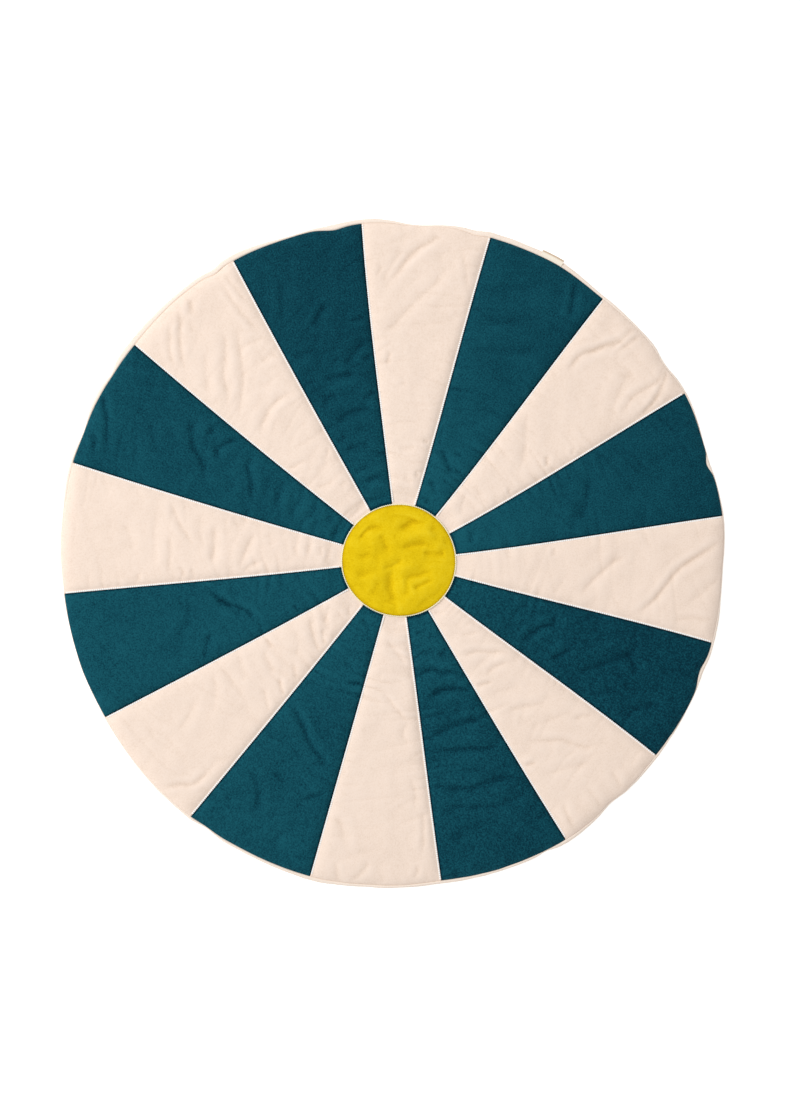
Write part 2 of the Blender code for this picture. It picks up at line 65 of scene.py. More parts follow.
# The mat's construction, as in the part's source
MAT_RADIUS = 500.0
HUB = (8.7, -10.1)
DISC_CENTRE = (9.5, -10.8)
DISC_RADIUS = 84.8
DISC_OVAL = 0.9
DISC_CORNERS = 0.5
OVAL_TURN = math.radians(-14)
CORNERS_TURN = math.radians(-46)
SHEET = 1.4
GAP = 0.3
SEAM_LEVEL = 7.0
RIM_LEVEL = 5.6
EDGE_LEVEL = 3.8
CROWN_REACH = 30.0
STEEPNESS = 4.6
RIM_REACH = 34.0
DISC_CROWN = 4.5
DISC_REACH = 55.0
DISC_STEEPNESS = 3.0
PANEL_SWELL_START = 89.0
PANEL_SWELL_RUN = 27.0
CHANNEL_DEPTH = 1.8
CHANNEL_REACH = 8.0
CHANNEL_START = 30.0
UNDER_TURN = 9.0
LABEL_WEDGE = 2
LABEL_WIDTH = 35.0
LABEL_REACH = 10.5
SEAM_NEAR = 108.0
SEAM_FAR = 444.0

# One row for each wedge, anticlockwise: its first seam's angle near the disc and near the rim, and its bow,
# in degrees; the mat's radius at that seam and in the wedge's middle; the back cloth that shows at both; and
# the height of its crown
Wedge = namedtuple("Wedge", "name near far bow rim rim_mid lip lip_mid crown")
WEDGES = (
    Wedge("teal_1", 5.9, 7.7, 0.3, 494.0, 491.5, 2.5, 1.2, 5.2),
    Wedge("cream_1", 27.6, 30.1, 0.4, 501.0, 503.0, 3.5, 4.0, 5.5),
    Wedge("teal_2", 50.1, 51.9, 0.35, 503.5, 512.5, 5.0, 8.5, 5.6),
    Wedge("cream_2", 72.9, 74.1, 0.3, 513.0, 509.0, 9.0, 3.0, 5.5),
    Wedge("teal_3", 96.4, 96.5, 0.3, 516.0, 514.5, 7.5, 3.5, 5.6),
    Wedge("cream_3", 119.4, 119.0, 0.05, 523.0, 521.5, 9.5, 7.5, 5.2),
    Wedge("teal_4", 142.0, 141.0, 0.0, 521.0, 518.0, 9.5, 6.5, 5.6),
    Wedge("cream_4", 164.3, 163.5, 0.0, 515.5, 510.0, 5.0, 3.0, 5.2),
    Wedge("teal_5", 187.0, 185.8, -0.2, 506.5, 504.5, 2.2, 1.4, 5.6),
    Wedge("cream_5", 209.4, 208.3, -0.1, 502.0, 501.5, 2.0, 3.0, 5.5),
    Wedge("teal_6", 232.0, 231.1, -0.1, 501.0, 498.5, 5.0, 5.0, 5.6),
    Wedge("cream_6", 254.7, 254.4, -0.05, 500.0, 494.5, 6.5, 5.0, 5.2),
    Wedge("teal_7", 278.1, 277.6, -0.15, 491.5, 493.0, 5.5, 4.5, 5.5),
    Wedge("cream_7", 300.4, 300.8, -0.1, 495.5, 489.5, 6.0, 3.0, 5.5),
    Wedge("teal_8", 322.2, 323.0, 0.4, 490.0, 489.5, 4.5, 1.6, 5.6),
    Wedge("cream_8", 344.2, 345.3, 0.4, 491.5, 488.5, 4.5, 3.0, 5.5),
)

# Small dents in the rim: how far each draws the rim in, and how much more back cloth shows there
Dent = namedtuple("Dent", "wedge share spread rim lip")
DENTS = (
    Dent("teal_1", 0.42, 0.07, 1.0, 4.5),
    Dent("cream_1", 0.28, 0.12, 4.0, 0.0),
    Dent("cream_2", 0.12, 0.08, 2.5, 0.0),
    Dent("cream_2", 0.60, 0.18, 4.0, 0.0),
    Dent("teal_3", 0.22, 0.10, 1.0, 3.5),
    Dent("cream_3", 0.18, 0.07, 3.5, 0.0),
    Dent("teal_4", 0.28, 0.07, 3.5, -3.0),
    Dent("teal_4", 0.76, 0.13, 4.5, -3.5),
    Dent("teal_6", 0.14, 0.09, 3.5, -2.0),
    Dent("teal_7", 0.82, 0.07, 3.0, -3.0),
    Dent("cream_7", 0.46, 0.12, 3.5, 0.0),
    Dent("teal_8", 0.75, 0.10, 1.5, 3.5),
)
DENT_FADE = 0.05

# Folds across the panels. A row holds a fold's depth, its width and the places that it runs through: each a
# distance from the hub and a percentage of the wedge's width. The deep ones follow the creases of the solids.
FOLDS = {
    "teal_1": (
        (2.6, 7.0, (279, 21), (287, 36), (303, 58), (314, 82)),
        (1.3, 9.0, (262, 12), (272, 30), (284, 52)),
        (2.2, 5.0, (111, 30), (114, 50), (120, 76)),
        (1.2, 10.0, (396, 58), (430, 62), (462, 66)),
    ),
    "cream_1": (
        (2.4, 3.2, (408, 3), (448, 7), (478, 16), (499, 27)),
        (1.9, 3.6, (396, 14), (430, 22), (470, 20), (498, 30)),
        (1.2, 6.0, (378, 12), (398, 26), (432, 38), (462, 44)),
        (1.9, 2.6, (262, 13), (267, 20), (274, 28)),
        (1.6, 2.4, (305, 6), (311, 15)),
        (1.4, 2.6, (193, 8), (200, 20)),
        (1.9, 6.0, (224, 28), (247, 50), (270, 70), (300, 92)),
        (1.3, 4.5, (113, 26), (126, 56), (147, 80)),
        (2.6, 3.6, (376, 83), (412, 84), (440, 74), (484, 61)),
        (1.6, 3.0, (420, 80), (446, 74), (470, 68)),
        (2.0, 2.8, (446, 62), (474, 60), (501, 58.5)),
        (1.2, 3.2, (440, 68), (470, 66), (500, 66)),
    ),
    "teal_2": (
        (2.3, 4.5, (109, 42), (120, 62), (133, 84)),
        (2.9, 4.5, (150, 32), (158, 46), (166, 62), (180, 82)),
        (1.8, 3.2, (163, 14), (159, 34)),
        (1.6, 3.4, (184, 34), (181, 54)),
        (1.5, 4.0, (180, 84), (196, 90), (216, 90)),
        (1.8, 4.0, (94, 46), (100, 72)),
        (1.2, 8.0, (252, 26), (262, 42), (284, 50)),
        (2.4, 10.0, (333, 90), (349, 57), (367, 33), (384, 22)),
        (2.2, 10.0, (380, 95), (398, 57), (424, 31)),
        (1.4, 11.0, (436, 90), (448, 62), (476, 44)),
        (1.8, 3.6, (440, 12), (470, 20), (498, 26)),
    ),
    "cream_2": (
        (2.9, 4.2, (494, 38), (482, 45), (467, 56), (439, 69), (405, 85)),
        (1.5, 4.0, (470, 66), (440, 78), (418, 86)),
        (2.0, 5.5, (452, 26), (413, 40), (382, 58), (352, 76), (338, 90)),
        (1.8, 2.8, (294, 87), (304, 82), (315, 79)),
        (1.4, 2.8, (426, 91), (436, 87), (446, 86)),
        (1.1, 4.0, (258, 78), (262, 68), (270, 60)),
        (1.6, 2.8, (183, 9), (184, 22)),
        (1.4, 2.8, (128, 14), (135, 27)),
        (1.2, 5.0, (166, 72), (168, 52), (174, 34)),
        (1.1, 4.0, (118, 28), (126, 56)),
        (1.1, 4.0, (410, 6), (446, 12), (478, 20)),
    ),
    "teal_3": (
        (2.7, 6.0, (230, 12), (234, 34), (232, 58), (227, 84)),
        (2.5, 4.5, (129, 12), (130, 40), (128, 74)),
        (1.5, 4.5, (147, 44), (148, 70), (146, 92)),
        (1.9, 5.0, (178, 30), (182, 58), (181, 86)),
        (1.2, 4.0, (165, 10), (168, 34)),
        (1.8, 4.0, (203, 70), (202, 94)),
        (2.7, 6.0, (288, 26), (290, 48), (296, 74)),
        (2.6, 6.0, (302, 40), (318, 24), (338, 6)),
        (1.5, 3.2, (314, 3), (306, 16)),
        (1.8, 4.0, (258, 5), (248, 26)),
        (1.2, 6.0, (268, 60), (264, 86)),
        (2.0, 4.0, (371, 62), (388, 50), (404, 40)),
        (1.5, 3.4, (372, 4), (366, 22)),
        (1.4, 5.0, (396, 86), (426, 80), (456, 70)),
        (1.1, 6.0, (338, 62), (342, 80), (338, 94)),
    ),
    "cream_3": (
        (2.6, 4.6, (299, 8), (301, 40), (293, 64), (279, 84)),
        (2.1, 5.0, (317, 92), (339, 67), (362, 49), (402, 34), (430, 26)),
        (1.8, 5.0, (346, 90), (358, 76), (384, 63), (416, 44), (446, 36)),
        (2.1, 3.6, (424, 89), (452, 79), (480, 64), (501, 56)),
        (1.5, 3.2, (440, 94), (466, 84), (492, 70)),
        (1.2, 5.0, (380, 92), (398, 78), (430, 62)),
        (2.2, 3.8, (478, 52), (502, 43)),
        (1.2, 5.0, (458, 60), (478, 53)),
        (1.3, 4.0, (391, 7), (394, 22), (397, 34)),
        (1.3, 4.0, (361, 5), (364, 26)),
        (1.5, 3.0, (396, 10), (446, 16), (502, 17)),
        (1.3, 2.8, (446, 7), (478, 10), (504, 11)),
        (1.9, 3.0, (205, 56), (210, 82), (216, 94)),
        (1.7, 3.6, (202, 9), (190, 22), (186, 40)),
        (1.2, 4.5, (178, 12), (182, 40), (180, 62)),
        (1.4, 4.0, (156, 40), (158, 66), (166, 86)),
        (1.2, 4.0, (144, 14), (141, 42)),
    ),
    "teal_4": (
        (3.0, 5.5, (273, 8), (266, 30), (249, 50), (238, 76)),
        (3.5, 6.5, (382, 16), (368, 30), (350, 45), (326, 57), (314, 84)),
        (2.5, 4.5, (300, 3), (312, 18), (318, 32), (310, 48)),
        (2.3, 5.0, (212, 10), (206, 40), (203, 78)),
        (1.2, 5.0, (346, 10), (340, 24)),
        (1.8, 7.0, (428, 42), (412, 56), (393, 72)),
        (2.4, 4.0, (514, 42), (498, 52), (482, 64), (466, 86)),
        (1.5, 3.5, (500, 72), (486, 88)),
        (1.7, 5.0, (146, 10), (149, 38), (147, 66)),
        (1.5, 4.5, (122, 16), (118, 46)),
        (1.5, 5.0, (172, 26), (175, 52), (172, 80)),
        (1.3, 4.0, (100, 56), (112, 78)),
        (1.2, 7.0, (232, 12), (226, 42), (222, 72)),
        (1.1, 7.0, (286, 50), (278, 80)),
    ),
    "cream_4": (
        (2.7, 5.0, (283, 22), (277, 52), (282, 78)),
        (2.3, 4.2, (220, 20), (226, 46), (234, 70), (240, 88)),
        (2.0, 3.6, (200, 68), (223, 81), (235, 93)),
        (2.0, 3.8, (308, 56), (322, 40), (337, 27), (356, 5)),
        (1.9, 5.0, (346, 88), (342, 66), (348, 44)),
        (1.3, 6.0, (372, 10), (369, 40), (365, 80)),
        (1.3, 5.0, (268, 8), (262, 40)),
        (1.3, 5.5, (304, 10), (300, 36), (292, 60)),
        (1.7, 3.6, (159, 34), (152, 64)),
        (1.6, 3.8, (119, 22), (117, 60)),
        (1.5, 3.8, (134, 18), (137, 52)),
        (1.3, 3.4, (104, 24), (106, 64)),
        (1.1, 4.5, (176, 20), (166, 50), (164, 80)),
        (1.2, 5.0, (200, 16), (192, 46)),
        (1.1, 5.0, (418, 38), (404, 52), (394, 68)),
        (1.6, 2.6, (390, 86), (394, 95)),
        (1.6, 2.8, (313, 84), (305, 95)),
        (1.3, 3.0, (330, 80), (322, 94)),
        (1.4, 3.2, (258, 6), (247, 20)),
    ),
    "teal_5": (
        (3.8, 4.6, (292, 6), (276, 27), (254, 43), (239, 58), (233, 80)),
        (1.6, 4.6, (286, 24), (262, 44), (246, 64)),
        (1.9, 4.2, (301, 66), (312, 76), (321, 86), (323, 96)),
        (1.3, 9.0, (320, 14), (325, 36), (338, 52), (356, 58)),
        (1.9, 3.6, (172, 72), (171, 94)),
        (1.1, 6.0, (192, 30), (188, 56)),
        (1.4, 5.0, (116, 16), (118, 50), (114, 80)),
    ),
    "cream_5": (
        (1.9, 3.0, (102, 60), (107, 74), (113, 90)),
        (1.8, 3.6, (124, 14), (134, 34), (146, 54)),
        (2.3, 3.4, (152, 56), (160, 72), (170, 93)),
        (2.5, 4.0, (156, 14), (167, 42), (175, 70), (184, 93)),
        (1.2, 5.0, (188, 22), (196, 46), (212, 70)),
        (1.6, 3.2, (234, 8), (231, 28)),
        (1.5, 4.0, (243, 18), (249, 42), (252, 60)),
        (2.3, 3.0, (251, 68), (260, 82), (267, 94)),
        (1.6, 3.2, (220, 66), (230, 82), (236, 93)),
        (1.3, 4.5, (280, 8), (288, 28), (292, 44)),
        (1.5, 6.0, (308, 8), (310, 36), (306, 62)),
        (1.3, 5.5, (322, 10), (340, 32), (362, 52)),
        (1.4, 3.6, (278, 62), (290, 80), (300, 93)),
        (2.2, 3.0, (409, 86), (452, 85), (471, 77), (494, 68)),
        (1.1, 5.0, (366, 24), (392, 36), (424, 42)),
    ),
    "teal_6": (
        (2.9, 4.6, (266, 4), (285, 32), (311, 61), (334, 92)),
        (1.1, 8.0, (258, 30), (274, 50), (296, 74)),
        (1.9, 5.5, (384, 7), (395, 25), (418, 36), (446, 38)),
        (1.9, 4.0, (382, 74), (374, 84), (364, 93)),
        (1.8, 3.6, (172, 42), (178, 66)),
        (1.5, 4.0, (204, 72), (197, 82), (190, 95)),
        (1.4, 5.0, (102, 24), (108, 50), (124, 80)),
        (1.1, 6.0, (368, 34), (384, 52)),
        (1.1, 6.0, (424, 80), (446, 68), (470, 62)),
    ),
    "cream_6": (
        (1.9, 3.0, (200, 36), (224, 63), (242, 79)),
        (1.8, 3.8, (120, 26), (141, 63), (158, 87)),
        (1.4, 4.0, (242, 80), (262, 73), (278, 81)),
        (1.1, 4.5, (180, 10), (178, 36)),
        (1.5, 3.6, (454, 44), (470, 39), (492, 28)),
        (1.5, 3.0, (378, 91), (412, 90), (446, 86)),
        (1.2, 4.5, (326, 80), (352, 85), (378, 82)),
        (1.6, 3.0, (458, 83), (480, 79)),
        (1.3, 5.5, (392, 6), (412, 16), (442, 22)),
        (1.3, 3.0, (462, 16), (492, 20)),
    ),
    "teal_7": (
        (1.8, 6.0, (139, 14), (145, 44), (142, 72)),
        (2.7, 4.8, (177, 6), (172, 38), (183, 62), (191, 94)),
        (2.1, 4.4, (156, 64), (152, 95)),
        (3.3, 5.0, (213, 14), (206, 48), (213, 74), (226, 96)),
        (3.0, 7.0, (272, 6), (263, 34), (263, 66), (270, 92)),
        (3.1, 6.0, (292, 6), (298, 43), (308, 68), (322, 95)),
        (3.1, 7.5, (343, 5), (352, 24), (360, 42), (360, 70), (370, 95)),
        (2.1, 7.5, (388, 6), (382, 28), (396, 62), (394, 92)),
        (1.3, 8.0, (240, 20), (244, 48), (240, 74)),
        (1.3, 8.0, (328, 20), (332, 46), (344, 72)),
        (1.2, 5.0, (112, 20), (116, 60)),
        (1.2, 10.0, (426, 12), (418, 42), (430, 76)),
    ),
    "cream_7": (
        (2.5, 3.6, (170, 7), (180, 42), (198, 68), (217, 90)),
        (2.1, 2.8, (222, 5), (226, 18), (231, 34)),
        (2.0, 3.6, (217, 30), (217, 54), (226, 76)),
        (1.5, 3.6, (146, 40), (154, 60), (160, 82)),
        (1.6, 3.2, (96, 16), (104, 50)),
        (1.9, 5.0, (278, 18), (292, 48), (311, 70)),
        (1.1, 5.5, (246, 20), (256, 46), (268, 62)),
        (2.0, 2.8, (364, 4), (367, 16)),
        (1.9, 4.0, (330, 20), (350, 38), (366, 52), (396, 63), (409, 80)),
        (1.5, 3.6, (354, 76), (374, 92)),
        (1.6, 3.0, (436, 16), (460, 12), (484, 10)),
        (1.2, 5.0, (386, 10), (402, 38), (424, 62)),
        (1.2, 4.0, (442, 40), (484, 37)),
        (1.2, 4.0, (446, 66), (482, 58)),
        (1.1, 5.5, (316, 30), (334, 62), (350, 86)),
    ),
    "teal_8": (
        (2.9, 4.6, (220, 7), (227, 36), (240, 57), (250, 66), (247, 88)),
        (2.2, 4.6, (272, 16), (280, 30), (291, 47)),
        (2.8, 8.0, (312, 10), (339, 42), (370, 64), (386, 84)),
        (2.4, 6.0, (366, 70), (382, 60), (396, 48)),
        (2.0, 5.5, (412, 5), (424, 24), (452, 38)),
        (1.2, 6.0, (350, 8), (372, 22), (396, 30)),
        (1.5, 5.0, (193, 40), (193, 66), (206, 86)),
        (1.5, 10.0, (422, 64), (454, 70), (480, 66)),
    ),
    "cream_8": (
        (2.8, 3.8, (361, 5), (385, 23), (403, 41), (423, 58), (465, 74), (486, 82)),
        (2.6, 5.2, (276, 16), (295, 41), (322, 64), (340, 70)),
        (1.3, 4.5, (240, 12), (252, 38)),
        (1.5, 3.0, (234, 74), (236, 90)),
        (1.4, 3.4, (420, 10), (450, 16), (482, 18)),
        (1.4, 5.0, (436, 26), (466, 42), (488, 56)),
    ),
}
FOLD_BOW = 0.06  # sideways bow of a fold with two places, as a share of its length
FOLD_STEPS = 4  # between two places
FOLD_WANDER = 1.2  # how far a fold strays to the side
FOLD_ENDS = 0.3  # share of its length over which a fold fades out at each end
FOLD_PAST = 0.03  # share of its length by which a fold runs past its ends
FOLD_UNEVENNESS = 0.22  # how much a fold's depth varies along it
# A fold's section in fold widths: height, place and reach of its sharp and its soft trough and of its ridges
FOLD_SECTION = ((-0.55, 0.0, 0.7), (-0.45, 0.0, 1.9), (0.34, 2.6, 1.4), (0.14, -2.9, 1.5))
TEAL_FOLDS = 0.8  # share of the depths above that the cloth keeps
CREAM_FOLDS = 0.7

# Folds of the disc's cloth, in the same columns, with each place as x and y from the disc's centre
DISC_FOLDS = (
    (5.0, 6.0, (52, 66), (30, 61), (14, 54), (-6, 44)),
    (3.6, 5.0, (-62, 30), (-54, 42), (-40, 49), (-15, 50)),
    (4.0, 5.0, (2, 16), (20, 23), (40, 24), (58, 18)),
    (3.4, 4.5, (34, 12), (54, 10), (76, 12)),
    (2.8, 4.5, (-30, 40), (-23, 28), (-16, 12)),
    (3.0, 4.0, (-26, -14), (-8, -7), (8, 4)),
    (5.2, 7.0, (-2, -6), (-12, -22), (-13, -42), (-10, -56), (-5, -74)),
    (4.2, 5.0, (6, -32), (18, -25), (32, -21), (56, -12)),
    (3.2, 4.0, (20, -45), (34, -36), (54, -27)),
    (2.6, 5.0, (8, -56), (12, -42), (11, -28)),
    (2.4, 3.5, (48, 40), (54, 52), (56, 66)),
    (2.4, 7.0, (-66, -26), (-44, -16), (-24, -12)),
    (2.2, 6.0, (-68, 2), (-44, 8), (-26, 4)),
    (2.2, 6.0, (-42, -54), (-34, -40), (-30, -28)),
    (1.8, 3.2, (-62, -63), (-50, -57), (-40, -54)),
    (1.8, 3.0, (-9, -64), (-7, -76), (-6, -83)),
    (2.0, 3.4, (30, -75), (40, -66), (46, -60)),
    (1.8, 3.4, (56, -60), (65, -48), (70, -38)),
    (1.8, 3.0, (66, 24), (74, 32), (80, 38)),
)
DISC_FOLD_SHARE = 0.8  # share of the depths above that the disc's cloth keeps
DISC_FOLD_SPREAD = 1.2  # how much broader its folds are than the table says
DISC_FLOOR = 0.4  # how deep a fold of the disc may go over the wedges' inner ends
DISC_FLOOR_DROP = 6.0  # and how much deeper further in
DISC_FLOOR_RUN = (14.0, 10.0)  # where that drop starts inside the disc's edge, and how long it is
UNDER_DISC = 8.4  # how far the padding lies below the disc's smooth top

# The cloth's own sizes
THICKNESS = 1.0
SHARP_EDGE = math.radians(55)  # from this angle on a piece's edge looks sharp
CLOTH_SHIFT = 211.0  # how far apart on the cloth two panels were cut
LIP_TRIM = 0.6  # the panels' cloth reaches this much further over the lip than the solids do
TEAL_ROLL = 1.15  # how far a panel's edge dips into a seam
CREAM_ROLL = 0.5
TEAL_END_ROLL = 0.7
CREAM_END_ROLL = 0.45
# How far the back cloth dips beside a panel's end, which draws a line there
LIP_TUCKS = {"teal": 1.1, "cream": 0.15, "cream_2": 0.7, "cream_3": 1.0, "cream_6": 0.9}
ROLL_REACH = 1.0
RIDGE = 0.6  # the folded edge that stands up beside a seam on the cream side
RIDGE_AT = 1.3
RIDGE_REACH = 1.1
PAD_CLEARANCE = 2.0  # between a panel and the padded back below it
EDGE_COLUMNS = (0.12, 0.5, 1.0, 1.7, 2.6, 4.0)  # distance of a panel's first columns from its seam
MIDDLE_COLUMNS = 66
ROW_SPACING = 2.5
HIDDEN_ROWS = (72.0, 78.0, 82.5, 84.3, 85.4, 86.5, 87.6, 88.8, 90.2)
END_SHARES = np.linspace(0.0, 1.0, 41)  # where a panel's outer end is measured
END_ROWS = (14.0, 11.5, 9.2, 7.2, 5.5, 4.0, 2.8, 1.8, 1.1, 0.6, 0.25)  # distance from a panel's outer end

DISC_COLUMNS = 192
DISC_ROWS = 44
DISC_INNER = 1.5  # radius of the disc's first row
DISC_EVEN_STOP = 5.0  # how far from its edge its evenly spaced rows stop
DISC_EDGE_ROWS = (3.8, 2.7, 1.8, 1.1, 0.6, 0.25, 0.0)  # distance of the others from its edge
DISC_ROLL = 0.9  # how far its turned edge rounds down
DISC_ROLL_REACH = 1.1

LIGHT_SIDE = 195.0  # direction, in degrees, towards which the cloth is painted lighter, as painted light from that side
SIDE_LIGHT_TONE = 0.20  # painted light: how much lighter it is painted there, at the rim
# How much lighter single panels are than the rest
PANEL_TONES = {
    "teal_1": 0.17, "teal_2": 0.15, "teal_3": -0.07, "teal_5": 0.05, "teal_6": 0.05, "teal_8": -0.03
}
DITCH_SHADE = 0.55  # painted shade: how much darker teal cloth is painted in the ditch beside a seam
DITCH_AT = 1.0
DITCH_REACH = 1.1
DISC_DITCH_SHADOW = 0.7  # painted shadow: how much darker teal cloth is painted beside the disc, which stands above it
DISC_DITCH_AT = 3.1
DISC_DITCH_REACH = 1.6
DISC_EDGE_SHADE = 0.5  # painted shade: how much darker the disc is painted at its edge, where it rounds down
DISC_EDGE_REACH = 3.5
CENTRE_LIGHT_TONE = 0.28  # painted light: how much lighter the cloth is painted towards the middle, near the disc
CENTRE_LIGHT_REACH = 210.0

# Unevenness of the padding, and the wrinkles of washed cloth over it: height, size and seed of each layer
LUMPS = ((0.9, 74.0, 21), (0.65, 38.0, 22))
WRINKLES = ((0.34, 21.0, 23), (0.12, 10.5, 24))
DISC_LUMPS = ((1.7, 38.0, 53), (0.6, 19.0, 54), (0.2, 9.0, 55))

# Waves along the disc's edge: height, slant, size, seed, and how far into the disc they reach
DISC_PUCKERS = ((0.35, 0.25, 9.0, 51, 9.0), (0.5, 0.3, 19.0, 52, 22.0))

# How far in from a seam, a panel's end or the disc's edge each kind of relief reaches its full height
FOLD_FADE = 5.0
FOLD_END_FADE = 8.0
WRINKLE_FADE = 8.0
LUMP_FADE = 30.0
DISC_FOLD_FADE = 14.0
DISC_PUCKER_FADE = 4.0
PANEL_SHOWN = (-1.0, 8.0)  # where a panel's relief starts outside the disc's edge, and its fade there

# Waves of the rim, upward and outward: height, size, seed, and the line of the noise that each one reads
RIM_WAVES = ((0.30, 11.0, 41, 3.0), (0.40, 24.0, 42, 9.0))
OUTLINE_WAVES = ((0.3, 13.0, 43, 17.0), (0.3, 30.0, 44, 23.0))
RIM_WAVE_REACH = 13.0
RIM_DEGREE = 8.7  # length of one degree of the rim

# Waves that a seam sends into the cloth beside it: height, size, seed, and how far from the seam they reach
SEAM_WAVES = ((0.28, 8.0, 12, 6.0), (0.60, 17.0, 13, 18.0), (0.65, 42.0, 14, 42.0))
SEAM_SLANT = 0.45  # how far its puckers lean along the seam, for each mm away from it
SEAM_BEND = 0.0025
SEAM_CREASE = 1.5  # depth of the short creases beside a seam
SEAM_CREASE_REACH = (14.0, 34.0)  # of the shortest one, and how much further the longest one goes
CALM_START = 230.0  # from here on towards the rim a seam's puckers grow lower, over this run, to this share
CALM_RUN = 170.0
CALM_SHARE = 0.4
SEAM_HOLD = (0.25, 6.0)  # share of the puckers' height at the seam itself, and where they are whole
CROSS_WRINKLE = 0.55  # depth of the faint valleys across a wedge

# The padded back
PAD_COLUMNS = 40  # in each wedge
PAD_BIAS = 0.7  # how much closer they stand near the seams
PAD_ROW_STEP = 8
PAD_TOP_ROWS = (14, 28, 42, 56, 66, 75, 84, 93, *range(101, 466, PAD_ROW_STEP))
PAD_STRETCH = (100.0, 300.0)  # where, and over which run, the rows start to spread to fit the panel's length
PAD_PANELS = (64.0, 8.0)  # where the padding turns from the disc's form to the panels', and over which run
PAD_END_ROWS = (12.0, 8.0, 5.0, 2.5, 1.0)  # distance from the panels' outer end
PAD_INNER = 14.0  # radius of the innermost row underneath
PAD_UNDER_ROWS = 44
LIP_TURNS = np.radians(np.linspace(0.0, 90.0, 10))  # from the panels' end over the lip to the rim
LOW_TURNS = np.radians((12.0, 25.0, 38.0, 50.0, 62.0, 74.0, 84.0, 90.0))  # from the rim down to the floor
PAD_FOLD_SPREAD = 2.6  # how much broader the folds are in the padding than in the cloth
PAD_FOLD_MOST = 4.5  # how deep they get there at most
BACK_SHIFT = 400.0  # how far its lumps are shifted from those on top
BACK_LUMPS = 0.5  # share of their height underneath, where the mat lies on the floor
BACK_RIPPLES = 0.9
BACK_PRESSED = 0.1  # how much the floor presses away
PAD_SIDE_WEAVE = 0.7  # how far the weave shifts for each mm of the rim's height
LIP_LEAST = 4.5
LIP_TOP = 7.3
LIP_TUCK_REACH = 0.8

# The loop label's tape
TAPE = 0.45
LABEL_HALF = 0.9  # from the middle of the folded label to its outer face
LABEL_RADIUS = 505.0  # where the label's width is measured
LABEL_COLUMNS = 25
LABEL_BEND = 1.4  # how much of its reach the fold takes up
LABEL_START = 0.4  # how far outside the panel's end it comes out
LABEL_LEVEL = 7.0
LABEL_RISE = 1.1  # how far it rises as it leaves the seam
LABEL_WAVE = (0.35, 9.0)  # height of the wave across its fold, and its length in mm for each radian
LABEL_PRESSED = 0.75  # share of its thickness where the seam holds it
LABEL_FOLD_SHADE = 0.9  # painted shade: how much darker the label is painted where it folds
LABEL_EDGE_REACH = 1.6

# The threads
STITCH_LENGTH = 3.05
STITCH_PITCH = 3.2
STITCH_RADIUS = 1.3
BACK_STITCH_RADIUS = 0.78
STITCH_WOBBLE = 0.12
STITCH_OFFSET = 1.3  # from the seam, on the cream side
STITCH_START = DISC_RADIUS + 1.5
STITCH_STOP = 2.0  # from the panel's end
STITCH_SHIFT = 0.37  # share of the pitch by which each seam's stitches start later than the last one's
STITCH_LIFT = 0.35 * STITCH_RADIUS  # how far a stitch's middle lies above the cloth
BACK_STITCH_START = DISC_RADIUS + 20.0
BACK_STITCH_SINK = 0.1  # how far its middle lies inside the back cloth
BACK_STITCH_LEAST = 0.75 * STITCH_RADIUS  # and how far above the floor, at least
FLATNESS = 0.6  # a stitch's height to its width
ZIGZAG_TEETH = 172
ZIGZAG_INNER = -0.6  # both ends of a zigzag stitch, outward from the disc's edge
ZIGZAG_OUTER = 1.0
ZIGZAG_RADIUS = 0.6
ZIGZAG_GRIP = 1.5  # how far inside the disc's edge its inner ends take their height
ZIGZAG_LIFT = 0.2  # how far above the disc they lie
ZIGZAG_LEVEL = SEAM_LEVEL + GAP + SHEET + 1.7  # height of its outer ends
THREAD_SIDES = 5
# Rings of a stitch: how far along it each lies, its share of the radius, and how far it is lifted
THREAD_RINGS = ((0.0, 0.0, -0.4), (0.09, 0.88, 0.0), (0.5, 1.0, 0.1), (0.91, 0.88, 0.0), (1.0, 0.0, -0.4))

# The cloths: colours, darkest and lightest; how strongly mottling, blotches, painted fold shade and tone
# show; and sheen
Cloth = namedtuple("Cloth", "colour dark light mottle blotch relief tone sheen")
CLOTHS = {
    "teal": Cloth(
        (0.0022, 0.0500, 0.0740), (0.0001, 0.019, 0.033), (0.0075, 0.094, 0.126), 1.05, 0.4, 0.30, 1.0, 0.03
    ),
    "cream": Cloth(
        (0.880, 0.722, 0.612), (0.700, 0.545, 0.430), (0.935, 0.795, 0.700), 0.36, 0.20, 0.22, 0.1, 0.04
    ),
    "yellow": Cloth(
        (0.770, 0.535, 0.004), (0.560, 0.360, 0.001), (0.850, 0.630, 0.020), 0.5, 0.4, 0.30, 1.0, 0.03
    ),
    "back": Cloth(
        (0.915, 0.785, 0.680), (0.760, 0.620, 0.500), (0.980, 0.880, 0.790), 0.36, 0.20, 0.0, 0.0, 0.04
    ),
}
WEAVE_PITCH = 0.62
YARN_LENGTH = 14.0  # of the slubs in a yarn
YARN_WIDTH = 0.7
SPECKLE_SIZE = 2.1
MOTTLE_SIZE = 8.0
BLOTCH_SIZE = 60.0
PLY_PITCH = 0.6  # of the sewing thread
RIB_PITCH = 0.8  # of the label's tape

# The light and the floor, in metres and watts
ROOM_LIGHT = 0.59
SOFTBOX_AT = (-4.9, 2.0, 5.9)
SOFTBOX_SIZE = 3.0
SOFTBOX_POWER = 400.0
FLOOR_HALF = 60.0
FLOOR_GLOW = 0.45
FLOOR_LEVEL = -0.0002

# The photograph's view
CAMERA_AT = (11.1, 5.0)
CAMERA_HEIGHT = 3000.0
VIEW_HEIGHT = 1655.5  # what the image's height takes in, at the height of the mat's rim
RIM_TOP = 5.0
SENSOR = 36.0


